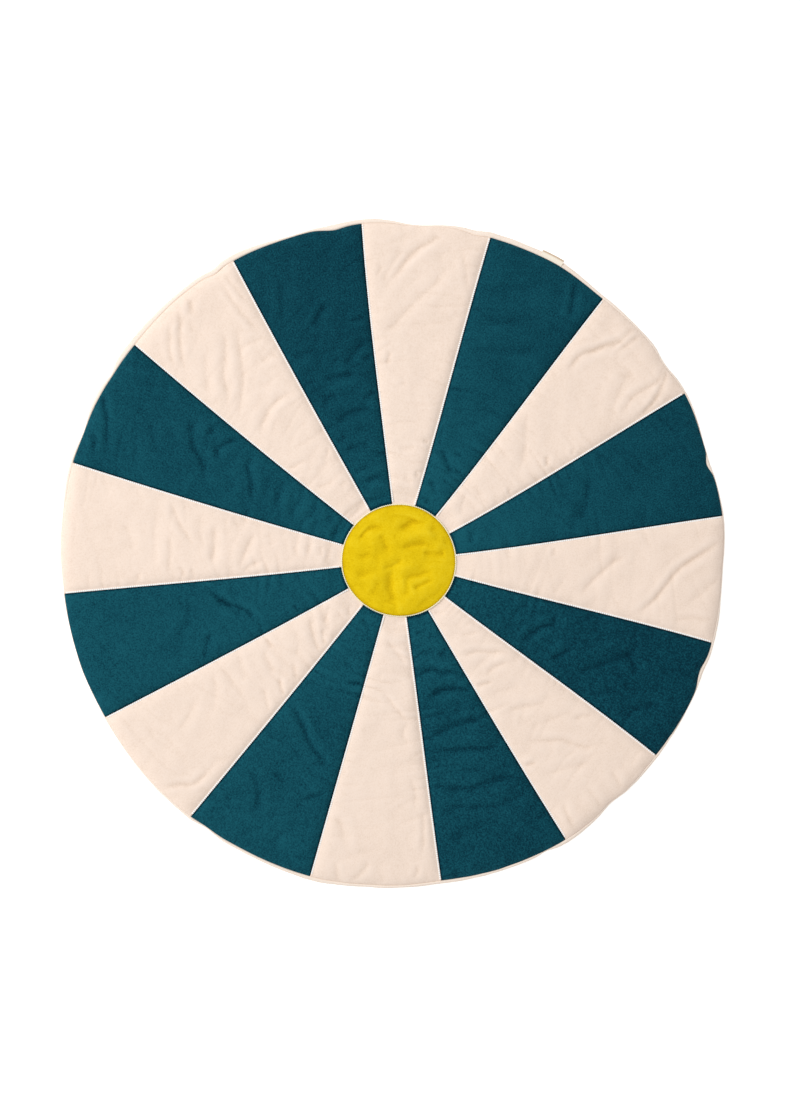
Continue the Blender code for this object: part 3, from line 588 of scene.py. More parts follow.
def clear_startup():
    """Removes what a new Blender file holds besides the frame."""
    kept = set(frame["bodies"].values()) | set(frame["nodes"].values())
    for obj in list(bpy.data.objects):
        if obj not in kept:
            bpy.data.objects.remove(obj, do_unlink=True)


def blend(a, b, t):
    return a + (b - a) * t


def ease(t):
    t = np.clip(t, 0.0, 1.0)
    return t * t * (3.0 - 2.0 * t)


def rise(distance, reach, steepness=2.2):
    """0 at a seam, 1 from `reach` on, steep at first: the swell of a filled cloth beside its stitches."""
    return 1.0 - (1.0 - np.clip(distance / reach, 0.0, 1.0)) ** steepness


def bell(distance, reach):
    return np.exp(-((distance / reach) ** 2))


def noise(x, y, size, seed):
    """Smooth noise, about -1 to 1, in lumps of the given size."""
    turns = np.random.default_rng(seed).uniform(0.0, 2.0 * math.pi, (128, 128))
    u = np.asarray(x) / size
    v = np.asarray(y) / size
    i = np.floor(u).astype(int)
    j = np.floor(v).astype(int)
    u = u - i
    v = v - j

    def corner(a, b):
        turn = turns[(i + a) % 128, (j + b) % 128]
        return np.cos(turn) * (u - a) + np.sin(turn) * (v - b)

    near = blend(corner(0, 0), corner(1, 0), ease(u))
    far = blend(corner(0, 1), corner(1, 1), ease(u))
    return 1.6 * blend(near, far, ease(v))


def layered(x, y, layers):
    """Noise of several sizes, one on the other: each layer has a height, a size and a seed."""
    return sum(height * noise(x, y, size, seed) for height, size, seed in layers)


def waves_along(distance, layers):
    """Noise along a line: each layer has a height, a size, a seed and a line of its own."""
    return sum(height * noise(distance, line, size, seed) for height, size, seed, line in layers)


def seam_angle(index, radius):
    wedge = WEDGES[index % len(WEDGES)]
    turn = 360.0 * (index // len(WEDGES))
    t = (radius - SEAM_NEAR) / (SEAM_FAR - SEAM_NEAR)
    return np.radians(blend(wedge.near, wedge.far, t) + 4.0 * wedge.bow * t * (1.0 - t) + turn)


def place(index, radius, share):
    angle = blend(seam_angle(index, radius), seam_angle(index + 1, radius), share)
    return HUB[0] + radius * np.cos(angle), HUB[1] + radius * np.sin(angle)


def wedge_width(index, radius):
    return (seam_angle(index + 1, radius) - seam_angle(index, radius)) * radius


def dents_at(index, share):
    """How far the dents of a wedge draw the rim in, and widen the lip."""
    rim = 0.0
    lip = 0.0
    fade = ease(np.minimum(share, 1.0 - share) / DENT_FADE)
    for dent in DENTS:
        if dent.wedge == WEDGES[index].name:
            rim = rim + dent.rim * fade * bell(share - dent.share, dent.spread)
            lip = lip + dent.lip * fade * bell(share - dent.share, dent.spread)
    return rim, lip


def between_seams(index, share, at_seam, at_middle):
    """A column of the wedge table, eased from the first seam to the middle and on to the next seam."""
    here = WEDGES[index]
    following = WEDGES[(index + 1) % len(WEDGES)]
    first = blend(getattr(here, at_seam), getattr(here, at_middle), ease(2.0 * share))
    second = blend(getattr(here, at_middle), getattr(following, at_seam), ease(2.0 * share - 1.0))
    return np.where(share <= 0.5, first, second)


def rim_radius(index, share):
    return between_seams(index, share, "rim", "rim_mid") - dents_at(index, share)[0]


def panel_end(index, share):
    rim, lip = dents_at(index, share)
    lip = lip + between_seams(index, share, "lip", "lip_mid")
    return between_seams(index, share, "rim", "rim_mid") - rim - np.maximum(lip - LIP_TRIM, 0.5)


def edge_distances(index, radius, share):
    """How far a place is from its wedge's first and second seam, the nearer one, and the panel's end."""
    width = wedge_width(index, radius)
    first = share * width
    second = (1.0 - share) * width
    return first, second, np.minimum(first, second), panel_end(index, share) - radius


def lip_tuck(index):
    name = WEDGES[index].name
    return LIP_TUCKS.get(name, LIP_TUCKS[name.split("_")[0]])


def hub_swell(radius):
    return DISC_CROWN * rise(DISC_RADIUS - radius, DISC_REACH, DISC_STEEPNESS)


def disc_edge(angle):
    """The disc's radius from its own centre: slightly oval and slightly three-cornered."""
    oval = DISC_OVAL * np.cos(2.0 * (angle - OVAL_TURN))
    return DISC_RADIUS + oval + DISC_CORNERS * np.cos(3.0 * (angle - CORNERS_TURN))


def curve_through(places):
    """Points on a smooth curve through two or more places; through two it bows to one side."""
    knots = [np.array(spot, float) for spot in places]
    if len(knots) == 2:
        run = knots[1] - knots[0]
        knots.insert(1, 0.5 * (knots[0] + knots[1]) + FOLD_BOW * np.array((-run[1], run[0])))
    knots = [2.0 * knots[0] - knots[1], *knots, 2.0 * knots[-1] - knots[-2]]
    points = [knots[1]]
    for before, start, end, after in zip(knots, knots[1:], knots[2:], knots[3:]):
        for t in np.arange(1, FOLD_STEPS + 1) / FOLD_STEPS:
            square = 2.0 * before - 5.0 * start + 4.0 * end - after
            cube = 3.0 * (start - end) + after - before
            points.append(start + 0.5 * ((end - before) * t + square * t**2 + cube * t**3))
    return np.array(points)


def path_distance(x, y, path):
    """Distance from points to a path, negative on its right, and how far along it they lie, from 0 to 1."""
    nearest = np.full(np.shape(x), np.inf)
    along = np.zeros(np.shape(x))
    side = np.ones(np.shape(x))
    for k, (first, second) in enumerate(zip(path, path[1:])):
        dx, dy = second - first
        t = np.clip(((x - first[0]) * dx + (y - first[1]) * dy) / (dx * dx + dy * dy), 0.0, 1.0)
        distance = np.hypot(x - first[0] - dx * t, y - first[1] - dy * t)
        closer = distance < nearest
        nearest = np.where(closer, distance, nearest)
        along = np.where(closer, (k + t) / (len(path) - 1), along)
        side = np.where(closer, np.sign(dx * (y - first[1]) - dy * (x - first[0])), side)
    return nearest * side, along


def fold_relief(x, y, path, depth, width, seed):
    """Height that a fold adds: a trough with a sharp and a soft part, and a low ridge along each side."""
    distance, along = path_distance(x, y, path)
    distance = distance + FOLD_WANDER * noise(x, y, 24.0, seed)
    fade = ease((along + FOLD_PAST) / FOLD_ENDS) * ease((1.0 + FOLD_PAST - along) / FOLD_ENDS)
    strength = depth * fade * (1.0 + FOLD_UNEVENNESS * noise(x, y, 27.0, seed + 400))
    section = sum(high * bell(distance - at * width, reach * width) for high, at, reach in FOLD_SECTION)
    return strength * section


def wedge_folds(index):
    """The folds of one wedge: the depth, width, path in the plan and seed of each."""
    made = []
    first_seed = sum(len(FOLDS[wedge.name]) for wedge in WEDGES[:index])
    for seed, (depth, width, *places) in enumerate(FOLDS[WEDGES[index].name], first_seed):
        path = curve_through([place(index, radius, percent / 100.0) for radius, percent in places])
        made.append((depth, width, path, seed))
    return made


def fold_share(index):
    return TEAL_FOLDS if index % 2 == 0 else CREAM_FOLDS


def smooth_top(index, radius, share):
    """Height of a panel's outer face without folds and puckers."""
    _, _, near_seam, to_end = edge_distances(index, radius, share)
    level = blend(RIM_LEVEL, SEAM_LEVEL, rise(to_end, RIM_REACH)) + hub_swell(radius)
    reach = np.minimum(CROWN_REACH, 0.5 * wedge_width(index, radius))
    swell = rise(near_seam, reach, STEEPNESS) * rise(to_end, RIM_REACH, STEEPNESS)
    swell = swell * ease((radius - PANEL_SWELL_START) / PANEL_SWELL_RUN)
    crown = WEDGES[index].crown * (reach / CROWN_REACH) ** 0.8
    return level + crown * swell + GAP + SHEET


def seam_puckers(seam, radius, distance):
    """Waves and short creases that a seam's gathered stitches send into the cloth on both its sides."""
    line = 37.0 * (seam % len(WEDGES)) + 5.0
    slant = SEAM_SLANT * noise(radius, line, 60.0, 11)
    along = radius + slant * distance - SEAM_BEND * distance**2
    waves = 0.0
    for height, size, seed, reach in SEAM_WAVES:
        waves = waves + height * noise(along, line, size, seed) * bell(distance, reach)
    shortest, spread = SEAM_CREASE_REACH
    reach = shortest + spread * ease(0.5 + noise(along, line, 22.0, 15))
    valley = bell(noise(along + 0.05 * distance, line, 15.0, 16), 0.24)
    strength = SEAM_CREASE * ease(0.25 + 1.3 * noise(along, line, 31.0, 17))
    calm = blend(1.0, CALM_SHARE, ease((radius - CALM_START) / CALM_RUN))
    least, whole = SEAM_HOLD
    held = blend(least, 1.0, rise(distance, whole))
    return calm * held * (waves - strength * valley * bell(distance, reach))


def cross_wrinkles(index, radius, share):
    """Faint valleys across a wedge, where its cloth is a little long for its padding."""
    across = share * wedge_width(index, radius)
    wave = noise(radius + 0.25 * across, 0.32 * across + 61.0 * index, 27.0, 31)
    strength = CROSS_WRINKLE * ease(0.5 + noise(radius, across + 83.0 * index, 70.0, 32))
    return -strength * bell(wave, 0.16)


def rim_puckers(index, radius, share):
    """Waves at the rim, where the panels and the back are sewn together."""
    x, y = place(index, radius, share)
    angle = np.degrees(np.arctan2(y - HUB[1], x - HUB[0]))
    to_end = panel_end(index, share) - radius
    return waves_along(RIM_DEGREE * (angle % 360.0), RIM_WAVES) * bell(to_end, RIM_WAVE_REACH)


def panel_relief(index, radius, share):
    """Heights that folds, puckers with wrinkles, and lumps of the padding add to a panel."""
    x, y = place(index, radius, share)
    first, second, near_seam, to_end = edge_distances(index, radius, share)
    folds = 0.0
    for depth, width, path, seed in wedge_folds(index):
        folds = folds + fold_share(index) * fold_relief(x, y, path, depth, width, 100 + seed)
    folds = folds * rise(near_seam, FOLD_FADE) * rise(to_end, FOLD_END_FADE)
    creases = (layered(x, y, WRINKLES) + cross_wrinkles(index, radius, share)) * rise(near_seam, WRINKLE_FADE)
    creases = creases + seam_puckers(index, radius, first) + seam_puckers(index + 1, radius, second)
    creases = creases + rim_puckers(index, radius, share)
    lumps = layered(x, y, LUMPS) * rise(near_seam, LUMP_FADE) * rise(to_end, LUMP_FADE)
    start, run = PANEL_SHOWN
    shown = ease((radius - DISC_RADIUS - start) / run)
    return folds * shown, creases * shown, lumps * shown


def panel_top(index, radius, share):
    """Height of a panel's outer face, and the part of it that folds and puckers make."""
    folds, creases, lumps = panel_relief(index, radius, share)
    _, _, near_seam, to_end = edge_distances(index, radius, share)
    if index % 2 == 0:
        edge = -TEAL_ROLL * bell(near_seam, ROLL_REACH) - TEAL_END_ROLL * bell(to_end, ROLL_REACH)
    else:
        edge = RIDGE * bell(near_seam - RIDGE_AT, RIDGE_REACH) - CREAM_ROLL * bell(near_seam, ROLL_REACH)
        edge = edge - lip_tuck(index) * CREAM_END_ROLL * bell(to_end, ROLL_REACH)
    return smooth_top(index, radius, share) + folds + creases + lumps + edge, folds + creases


def above_surroundings(height):
    """How far each point of a grid stands above the mean of those around it, which leaves out broad folds."""
    smooth = height
    for axis, reach in ((0, 2), (1, 3), (0, 2), (1, 3)):
        margins = [(reach, reach) if k == axis else (0, 0) for k in (0, 1)]
        wider = np.pad(smooth, margins, mode="edge")
        steps = range(2 * reach + 1)
        smooth = np.mean([np.take(wider, range(k, k + height.shape[axis]), axis=axis) for k in steps], axis=0)
    return height - smooth


def from_disc(x, y):
    """The direction of a place from the disc's centre, and how far it is inside the disc's edge."""
    angle = np.arctan2(y - DISC_CENTRE[1], x - DISC_CENTRE[0])
    return angle, disc_edge(angle) - np.hypot(x - DISC_CENTRE[0], y - DISC_CENTRE[1])


def disc_top(x, y):
    """Height of the disc's outer face, and the part of it that folds and puckers make."""
    radius = np.hypot(x - HUB[0], y - HUB[1])
    angle, to_edge = from_disc(x, y)
    folds = 0.0
    for seed, (depth, width, *places) in enumerate(DISC_FOLDS):
        path = curve_through(places) + np.array(DISC_CENTRE)
        depth = DISC_FOLD_SHARE * depth
        folds = folds + fold_relief(x, y, path, depth, DISC_FOLD_SPREAD * width, 300 + seed)
    around = DISC_RADIUS * angle
    puckers = 0.0
    for height, slant, size, seed, reach in DISC_PUCKERS:
        puckers = puckers + height * noise(around, slant * radius, size, seed) * bell(to_edge, reach)
    relief = (folds + layered(x, y, DISC_LUMPS)) * rise(to_edge, DISC_FOLD_FADE)
    relief = relief + puckers * rise(to_edge, DISC_PUCKER_FADE)
    drop_start, drop_run = DISC_FLOOR_RUN
    relief = np.maximum(relief, -DISC_FLOOR - DISC_FLOOR_DROP * ease((to_edge - drop_start) / drop_run))
    base = SEAM_LEVEL + hub_swell(radius) + 2.0 * (GAP + SHEET)
    return base + relief - DISC_ROLL * bell(to_edge, DISC_ROLL_REACH), relief


def grid_faces(rows, columns, closed=False):
    """Quads of a grid of points numbered row by row. They face up where its rows run outward and its columns
    anticlockwise."""
    numbers = np.arange(rows * columns).reshape(rows, columns)
    if closed:
        numbers = np.concatenate((numbers, numbers[:, :1]), axis=1)
    corners = (numbers[:-1, :-1], numbers[1:, :-1], numbers[1:, 1:], numbers[:-1, 1:])
    return np.stack(corners, axis=-1).reshape(-1, 4)


def round_faces(rows, count):
    """Faces of a round closed grid. The two points after it are the centres of its first and its last row."""
    faces = grid_faces(rows, count, closed=True).tolist()
    centre = rows * count
    last = (rows - 1) * count
    for k in range(count):
        following = (k + 1) % count
        faces.append((centre, k, following))
        faces.append((centre + 1, last + following, last + k))
    return faces


def make_piece(name, points, faces, material, flat, relief=0.0, tone=0.0):
    """An object from points in mm and faces. `flat` is each point's place on the cloth, for its weave,
    `relief` is how far folds raise it, which paints shade into its colour in troughs and light on ridges,
    and `tone` how light it is painted, painted light and shade among it."""
    mesh = bpy.data.meshes.new(name)
    mesh.from_pydata((np.asarray(points) * METRES).tolist(), [], faces)
    mesh.shade_smooth()
    mesh.set_sharp_from_angle(angle=SHARP_EDGE)
    cloth = mesh.attributes.new("flat", "FLOAT_VECTOR", "POINT")
    cloth.data.foreach_set("vector", np.asarray(flat, np.float32).ravel())
    for quality, values in (("relief", relief), ("tone", tone)):
        field = mesh.attributes.new(quality, "FLOAT", "POINT")
        field.data.foreach_set("value", (values + np.zeros(len(points))).astype(np.float32))
    mesh.materials.append(material)
    obj = bpy.data.objects.new(name, mesh)
    bpy.context.scene.collection.objects.link(obj)
    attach(obj, "root")
    return obj


def perimeter(top, bottom, left, right):
    """Places in a grid, as row and column, once round the stretch between two rows and two columns."""
    return [
        *((top, k) for k in range(left, right)),
        *((k, right) for k in range(top, bottom)),
        *((bottom, k) for k in range(right, left, -1)),
        *((k, left) for k in range(bottom, top, -1)),
    ]


def sheet_piece(name, top, thickness, material, flat, relief, tone):
    """A closed sheet under a grid of points (rows, columns, 3). Its hidden side has every second point."""
    rows, columns = top.shape[:2]
    row_lines = [*range(0, rows - 1, 2), rows - 1]
    column_lines = [*range(0, columns - 1, 2), columns - 1]
    kept = np.zeros((rows, columns), bool)
    kept[np.ix_(row_lines, column_lines)] = True
    kept[(0, -1), :] = True
    kept[:, (0, -1)] = True
    over = np.arange(rows * columns).reshape(rows, columns)
    below = np.full((rows, columns), -1)
    below[kept] = rows * columns + np.arange(np.count_nonzero(kept))
    faces = grid_faces(rows, columns).tolist()
    for i, i_next in zip(row_lines, row_lines[1:]):
        for j, j_next in zip(column_lines, column_lines[1:]):
            faces.append([int(below[spot]) for spot in perimeter(i, i_next, j, j_next) if kept[spot]])
    border = perimeter(0, rows - 1, 0, columns - 1)
    for here, following in zip(border, border[1:] + border[:1]):
        faces.append([int(k) for k in (over[here], over[following], below[following], below[here])])
    points = np.concatenate((top.reshape(-1, 3), top[kept] - np.array((0.0, 0.0, thickness))))
    flat = np.concatenate((flat.reshape(-1, 3), flat[kept]))
    relief = np.concatenate((relief.ravel(), relief[kept]))
    tone = np.concatenate((tone.ravel(), tone[kept]))
    return make_piece(name, points, faces, material, flat, relief, tone)


def panel_grid(index):
    """The radii and shares of a panel's grid."""
    shown_end = float(np.max(panel_end(index, END_SHARES)))
    count = int((shown_end - END_ROWS[0] - HIDDEN_ROWS[-1]) / ROW_SPACING)
    part = np.linspace(0.0, 1.0, count + 1)[:, None]
    guess = 0.5 * (HIDDEN_ROWS[-1] + shown_end)
    share = panel_columns(index, np.array([[guess]]))
    end = panel_end(index, share)
    hidden = np.array(HIDDEN_ROWS[:-1])[:, None] + 0.0 * end
    middle = blend(HIDDEN_ROWS[-1], end - END_ROWS[0], part)
    outer = end - np.array(END_ROWS[1:])[:, None]
    radius = np.concatenate((hidden, middle, outer), axis=0)
    return radius, panel_columns(index, radius)


def panel_columns(index, radius):
    """Shares of a panel's columns: the first and last ones keep their distance from the seams."""
    width = wedge_width(index, radius[:, :1])
    first = np.array(EDGE_COLUMNS) / width
    t = np.linspace(0.0, 1.0, MIDDLE_COLUMNS + 2)[1:-1]
    start = first[:, -1:]
    middle = blend(start, 1.0 - start, t)
    return np.concatenate((first, middle, 1.0 - first[:, ::-1]), axis=1)


def panel_tone(index, radius, share):
    """How light the cloth is painted: painted light towards one side and towards the middle, each panel's own
    tone, and painted shade in the ditches beside seams and disc.
    """
    x, y = place(index, radius, share)
    side = math.radians(LIGHT_SIDE)
    to_side = (x * math.cos(side) + y * math.sin(side)) / MAT_RADIUS
    # Painted light: lighter towards one side, and towards the middle near the disc
    tone = SIDE_LIGHT_TONE * to_side + CENTRE_LIGHT_TONE * bell(radius, CENTRE_LIGHT_REACH)
    tone = tone + PANEL_TONES.get(WEDGES[index].name, 0.0)
    if index % 2 == 0:
        _, _, near_seam, _ = edge_distances(index, radius, share)
        _, to_edge = from_disc(x, y)
        # Painted shade in the ditch beside each seam, and painted shadow beside the disc
        tone = tone - DITCH_SHADE * bell(near_seam - DITCH_AT, DITCH_REACH)
        tone = tone - DISC_DITCH_SHADOW * bell(-to_edge - DISC_DITCH_AT, DISC_DITCH_REACH)
    return tone


def make_panel(index, material):
    """One wedge of cloth, sewn along both sides and quilted over the padding."""
    kind, number = WEDGES[index].name.split("_")
    radius, share = panel_grid(index)
    x, y = place(index, radius, share)
    z, relief = panel_top(index, radius, share)
    middle = float(blend(seam_angle(index, SEAM_FAR), seam_angle(index + 1, SEAM_FAR), 0.5))
    u = x * math.cos(middle) + y * math.sin(middle)
    v = y * math.cos(middle) - x * math.sin(middle)
    flat = np.stack((u, v, np.full_like(u, CLOTH_SHIFT * index)), axis=-1)
    top = np.stack((x, y, z), axis=-1)
    tone = panel_tone(index, radius, share)
    # Only the colour reads this relief: it paints shade in troughs and light on ridges
    relief = above_surroundings(relief)
    panel = sheet_piece(f"{kind}_panel_{number}", top, THICKNESS, material, flat, relief, tone)
    end = panel_end(index, END_SHARES)
    width = float(np.max(wedge_width(index, np.max(end)))) * METRES
    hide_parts(WEDGES[index].name)


def make_disc(material):
    """The round of cloth in the middle."""
    angle = 2.0 * math.pi * np.arange(DISC_COLUMNS) / DISC_COLUMNS
    edge = disc_edge(angle)
    inner = blend(DISC_INNER, edge - DISC_EVEN_STOP, np.linspace(0.0, 1.0, DISC_ROWS)[:, None])
    outer = edge - np.array(DISC_EDGE_ROWS)[:, None]
    radius = np.concatenate((inner, outer), axis=0)
    x = DISC_CENTRE[0] + radius * np.cos(angle)
    y = DISC_CENTRE[1] + radius * np.sin(angle)
    z, relief = disc_top(x, y)
    # Only the colour reads this relief: it paints shade in troughs and light on ridges
    relief = above_surroundings(relief)
    # Painted shade along the disc's rounded-down edge
    tone = -DISC_EDGE_SHADE * bell(radius - edge, DISC_EDGE_REACH)
    top = np.stack((x, y, z), axis=-1)
    under = (top - np.array((0.0, 0.0, THICKNESS)))[::-1]
    middle = float(disc_top(*DISC_CENTRE)[0])
    centres = np.array(((*DISC_CENTRE, middle), (*DISC_CENTRE, middle - THICKNESS)))
    points = np.concatenate((top.reshape(-1, 3), under.reshape(-1, 3), centres))
    relief, tone = (np.concatenate((part.ravel(), part[::-1].ravel(), (0.0, 0.0))) for part in (relief, tone))
    faces = round_faces(2 * len(radius), DISC_COLUMNS)
    disc = make_piece("centre_disc", points, faces, material, points, relief, tone)
    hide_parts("disc")


def pad_top(index, radius, share):
    """Height of the padding under a panel, clear of the panel's folds."""
    x, y = place(index, radius, share)
    _, _, near_seam, to_end = edge_distances(index, radius, share)
    _, creases, lumps = panel_relief(index, radius, share)
    folds = 0.0
    for depth, width, path, _ in wedge_folds(index):
        distance, _ = path_distance(x, y, path)
        folds = folds + fold_share(index) * depth * bell(distance, PAD_FOLD_SPREAD * width)
    folds = np.minimum(folds, PAD_FOLD_MOST) * rise(near_seam, FOLD_FADE) * rise(to_end, FOLD_END_FADE)
    return smooth_top(index, radius, share) - THICKNESS - PAD_CLEARANCE + creases + lumps - folds


def pad_under(index, radius, share):
    """Height of the underside: on the floor, with a soft channel and slight puckers along each seam."""
    x, y = place(index, radius, share)
    first, second, near_seam, _ = edge_distances(index, radius, share)
    open_run = ease((radius - CHANNEL_START) / DISC_RADIUS)
    channel = CHANNEL_DEPTH * bell(near_seam, 0.6 * CHANNEL_REACH)
    ripples = seam_puckers(index, radius, first) + seam_puckers(index + 1, radius, second)
    lumps = layered(x + BACK_SHIFT, y, LUMPS)
    wrinkles = layered(x + BACK_SHIFT, y, WRINKLES)
    bumps = BACK_LUMPS * lumps + wrinkles + BACK_RIPPLES * ripples - BACK_PRESSED
    return (channel + np.maximum(0.0, bumps)) * open_run


def spread_shares(count, bias):
    """Shares from 0 up to 1, closer together near both seams."""
    t = np.arange(count) / count
    return t - bias * np.sin(2.0 * math.pi * t) / (2.0 * math.pi)


def pad_top_rows(index, columns):
    """Rows of points on the padding under the disc and one panel, outward."""
    end = panel_end(index, columns)
    scale = (end - PAD_END_ROWS[0]) / (PAD_TOP_ROWS[-1] + PAD_ROW_STEP)
    stretch_start, stretch_run = PAD_STRETCH
    panels_start, panels_run = PAD_PANELS
    rows = []
    for radius in PAD_TOP_ROWS:
        here = radius * blend(1.0, scale, ease((radius - stretch_start) / stretch_run))
        x, y = place(index, here, columns)
        under_disc = SEAM_LEVEL + hub_swell(here) + 2.0 * (GAP + SHEET) - UNDER_DISC
        under_panel = pad_top(index, here, columns)
        rows.append((x, y, blend(under_disc, under_panel, ease((here - panels_start) / panels_run))))
    for inset in PAD_END_ROWS:
        x, y = place(index, end - inset, columns)
        rows.append((x, y, pad_top(index, end - inset, columns)))
    return rows


def pad_edge_rows(index, columns):
    """Rows over the lip of back cloth, from the panel's end to the rim, and on under the rim to the floor."""
    end = panel_end(index, columns)
    rim = rim_radius(index, columns)
    waves = rim_puckers(index, end, columns)
    angle = blend(seam_angle(index, rim), seam_angle(index + 1, rim), columns)
    outward = waves_along(RIM_DEGREE * np.degrees(angle), OUTLINE_WAVES)
    lip = np.maximum(rim - end, LIP_LEAST)
    start = np.arcsin(np.clip((end - rim + lip) / lip, 0.0, 1.0))
    rows = []
    for turn in LIP_TURNS:
        phi = blend(start, 0.5 * math.pi, turn / (0.5 * math.pi))
        bulge = np.sin(turn) ** 2
        here = rim - lip + lip * np.sin(phi) + outward * bulge
        x, y = place(index, here, columns)
        tuck = lip_tuck(index) * bell(here - end, LIP_TUCK_REACH)
        z = EDGE_LEVEL + (LIP_TOP - EDGE_LEVEL) * np.cos(phi)
        rows.append((x, y, z + (waves * rise(here - end + 0.3, 1.5) - tuck) * (1.0 - bulge)))
    for turn in LOW_TURNS:
        here = rim - UNDER_TURN * (1.0 - np.cos(turn)) + outward * np.cos(turn) ** 2
        x, y = place(index, here, columns)
        z = EDGE_LEVEL * (1.0 - np.sin(turn)) + pad_under(index, here, columns) * np.sin(turn) ** 2
        rows.append((x, y, z))
    return rows


def pad_under_rows(index, columns):
    """Rows of points on the underside, inward."""
    rows = []
    for part in np.linspace(0.0, 1.0, PAD_UNDER_ROWS)[1:-1]:
        radius = blend(rim_radius(index, columns) - UNDER_TURN, PAD_INNER, part)
        x, y = place(index, radius, columns)
        rows.append((x, y, pad_under(index, radius, columns)))
    return rows


def make_pad(material):
    """The padded back: its cloth shows as the lip round the rim, on the side and underneath."""
    columns = spread_shares(PAD_COLUMNS, PAD_BIAS)
    wedges = []
    for index in range(len(WEDGES)):
        rows = pad_top_rows(index, columns) + pad_edge_rows(index, columns) + pad_under_rows(index, columns)
        wedges.append(np.moveaxis(np.array(rows), 1, 2))
    points = np.concatenate(wedges, axis=1)
    rows, count = points.shape[:2]
    centres = np.array([(*HUB, float(np.mean(points[row, :, 2]))) for row in (0, -1)])
    points = np.concatenate((points.reshape(-1, 3), centres))
    flat = points[:, :2] + PAD_SIDE_WEAVE * points[:, 2:]
    flat = np.concatenate((flat, np.zeros((len(flat), 1))), axis=1)
    pad = make_piece("padded_back", points, round_faces(rows, count), material, flat)
    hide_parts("pad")


def folded_line(reach, half, sign):
    """Points (outward, upward) along one face of the folded label: out, round its fold and back."""
    straight = [(reach * t, sign * half) for t in np.linspace(0.0, 1.0, 9)]
    turns = np.radians(np.linspace(75.0, -75.0, 6))
    bend = [(reach + half * math.cos(turn), sign * half * math.sin(turn)) for turn in turns]
    return straight + bend + [(out, -up) for out, up in straight[::-1]]


def make_label(material):
    """The loop label: a blank tape, folded once and caught in the rim's seam."""
    index = LABEL_WEDGE
    columns = LABEL_COLUMNS
    share = 0.5 + LABEL_WIDTH / wedge_width(index, LABEL_RADIUS) * np.linspace(-0.5, 0.5, columns)
    end = panel_end(index, share)
    reach = LABEL_REACH - LABEL_BEND
    section = np.array(folded_line(reach, LABEL_HALF, 1.0) + folded_line(reach, LABEL_HALF - TAPE, -1.0))
    along = np.linspace(0.0, LABEL_WIDTH, columns)
    height, length = LABEL_WAVE
    rows = []
    for out, up in section:
        x, y = place(index, end + LABEL_START + out, share)
        far = out / LABEL_REACH
        lift = LABEL_LEVEL + LABEL_RISE * ease(3.0 * far) - far**2 + height * far * np.sin(along / length)
        rows.append((x, y, lift + up * blend(LABEL_PRESSED, 1.0, far)))
    points = np.moveaxis(np.array(rows), 2, 0).reshape(-1, 3)
    count = len(section)
    faces = grid_faces(columns, count, closed=True)[:, ::-1].tolist()
    last = (columns - 1) * count
    for k in range(count // 2 - 1):
        mirror = count - 1 - k
        faces.append((k, k + 1, mirror - 1, mirror))
        faces.append((last + mirror, last + mirror - 1, last + k + 1, last + k))
    flat = np.stack(np.broadcast_arrays(along[:, None], section[:, 0], 0.0), axis=-1).reshape(-1, 3)
    # Painted shade along the label's fold
    shade = -LABEL_FOLD_SHADE * bell(section[:, 0] - reach, LABEL_EDGE_REACH)
    label = make_piece("loop_label", points, faces, material, flat, tone=np.tile(shade, columns))
    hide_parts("label")


def thread_faces(number):
    """Faces of the given number of stitches, whose points follow each other."""
    sides = THREAD_SIDES
    tip = 1 + (len(THREAD_RINGS) - 2) * sides
    pattern = []
    for k in range(sides):
        n = (k + 1) % sides
        pattern.append((0, 1 + n, 1 + k))
        pattern.append((tip, tip - sides + k, tip - sides + n))
        for ring in range(1, tip - sides, sides):
            pattern.append((ring + k, ring + n, ring + n + sides, ring + k + sides))
    faces = []
    for first in range(0, number * (tip + 1), tip + 1):
        faces.extend(tuple(first + corner for corner in face) for face in pattern)
    return faces


def make_threads(name, starts, ends, radius, up, material, slot):
    """Joined stitches: beads of thread from start to end, sunk into the cloth at both ends and pressed flat
    against it. `up` is 1 for stitches on top and -1 for those underneath."""
    run = ends - starts
    length = np.linalg.norm(run, axis=1, keepdims=True)
    zero = np.zeros_like(length)
    ahead = run / length
    side = np.stack((-ahead[:, 1], ahead[:, 0], zero[:, 0]), axis=1)
    side = side / np.linalg.norm(side, axis=1, keepdims=True)
    lift = np.array((0.0, 0.0, up))
    points = []
    flats = []
    for t, share, height in THREAD_RINGS:
        centre = starts + run * t + lift * radius * height
        sides = THREAD_SIDES if share else 1
        for turn in 2.0 * math.pi * (np.arange(sides) + 0.25) / sides:
            outward = side * math.cos(turn) + FLATNESS * lift * math.sin(turn)
            around = radius * turn if share else 0.0
            points.append(centre + radius * share * outward)
            flats.append(np.concatenate((length * t, zero + around, zero), axis=1))
    points = np.stack(points, axis=1).reshape(-1, 3)
    flats = np.stack(flats, axis=1).reshape(-1, 3)
    faces = thread_faces(len(starts))
    if up < 0:
        faces = [face[::-1] for face in faces]
    make_piece(name, points, faces, material, flats)


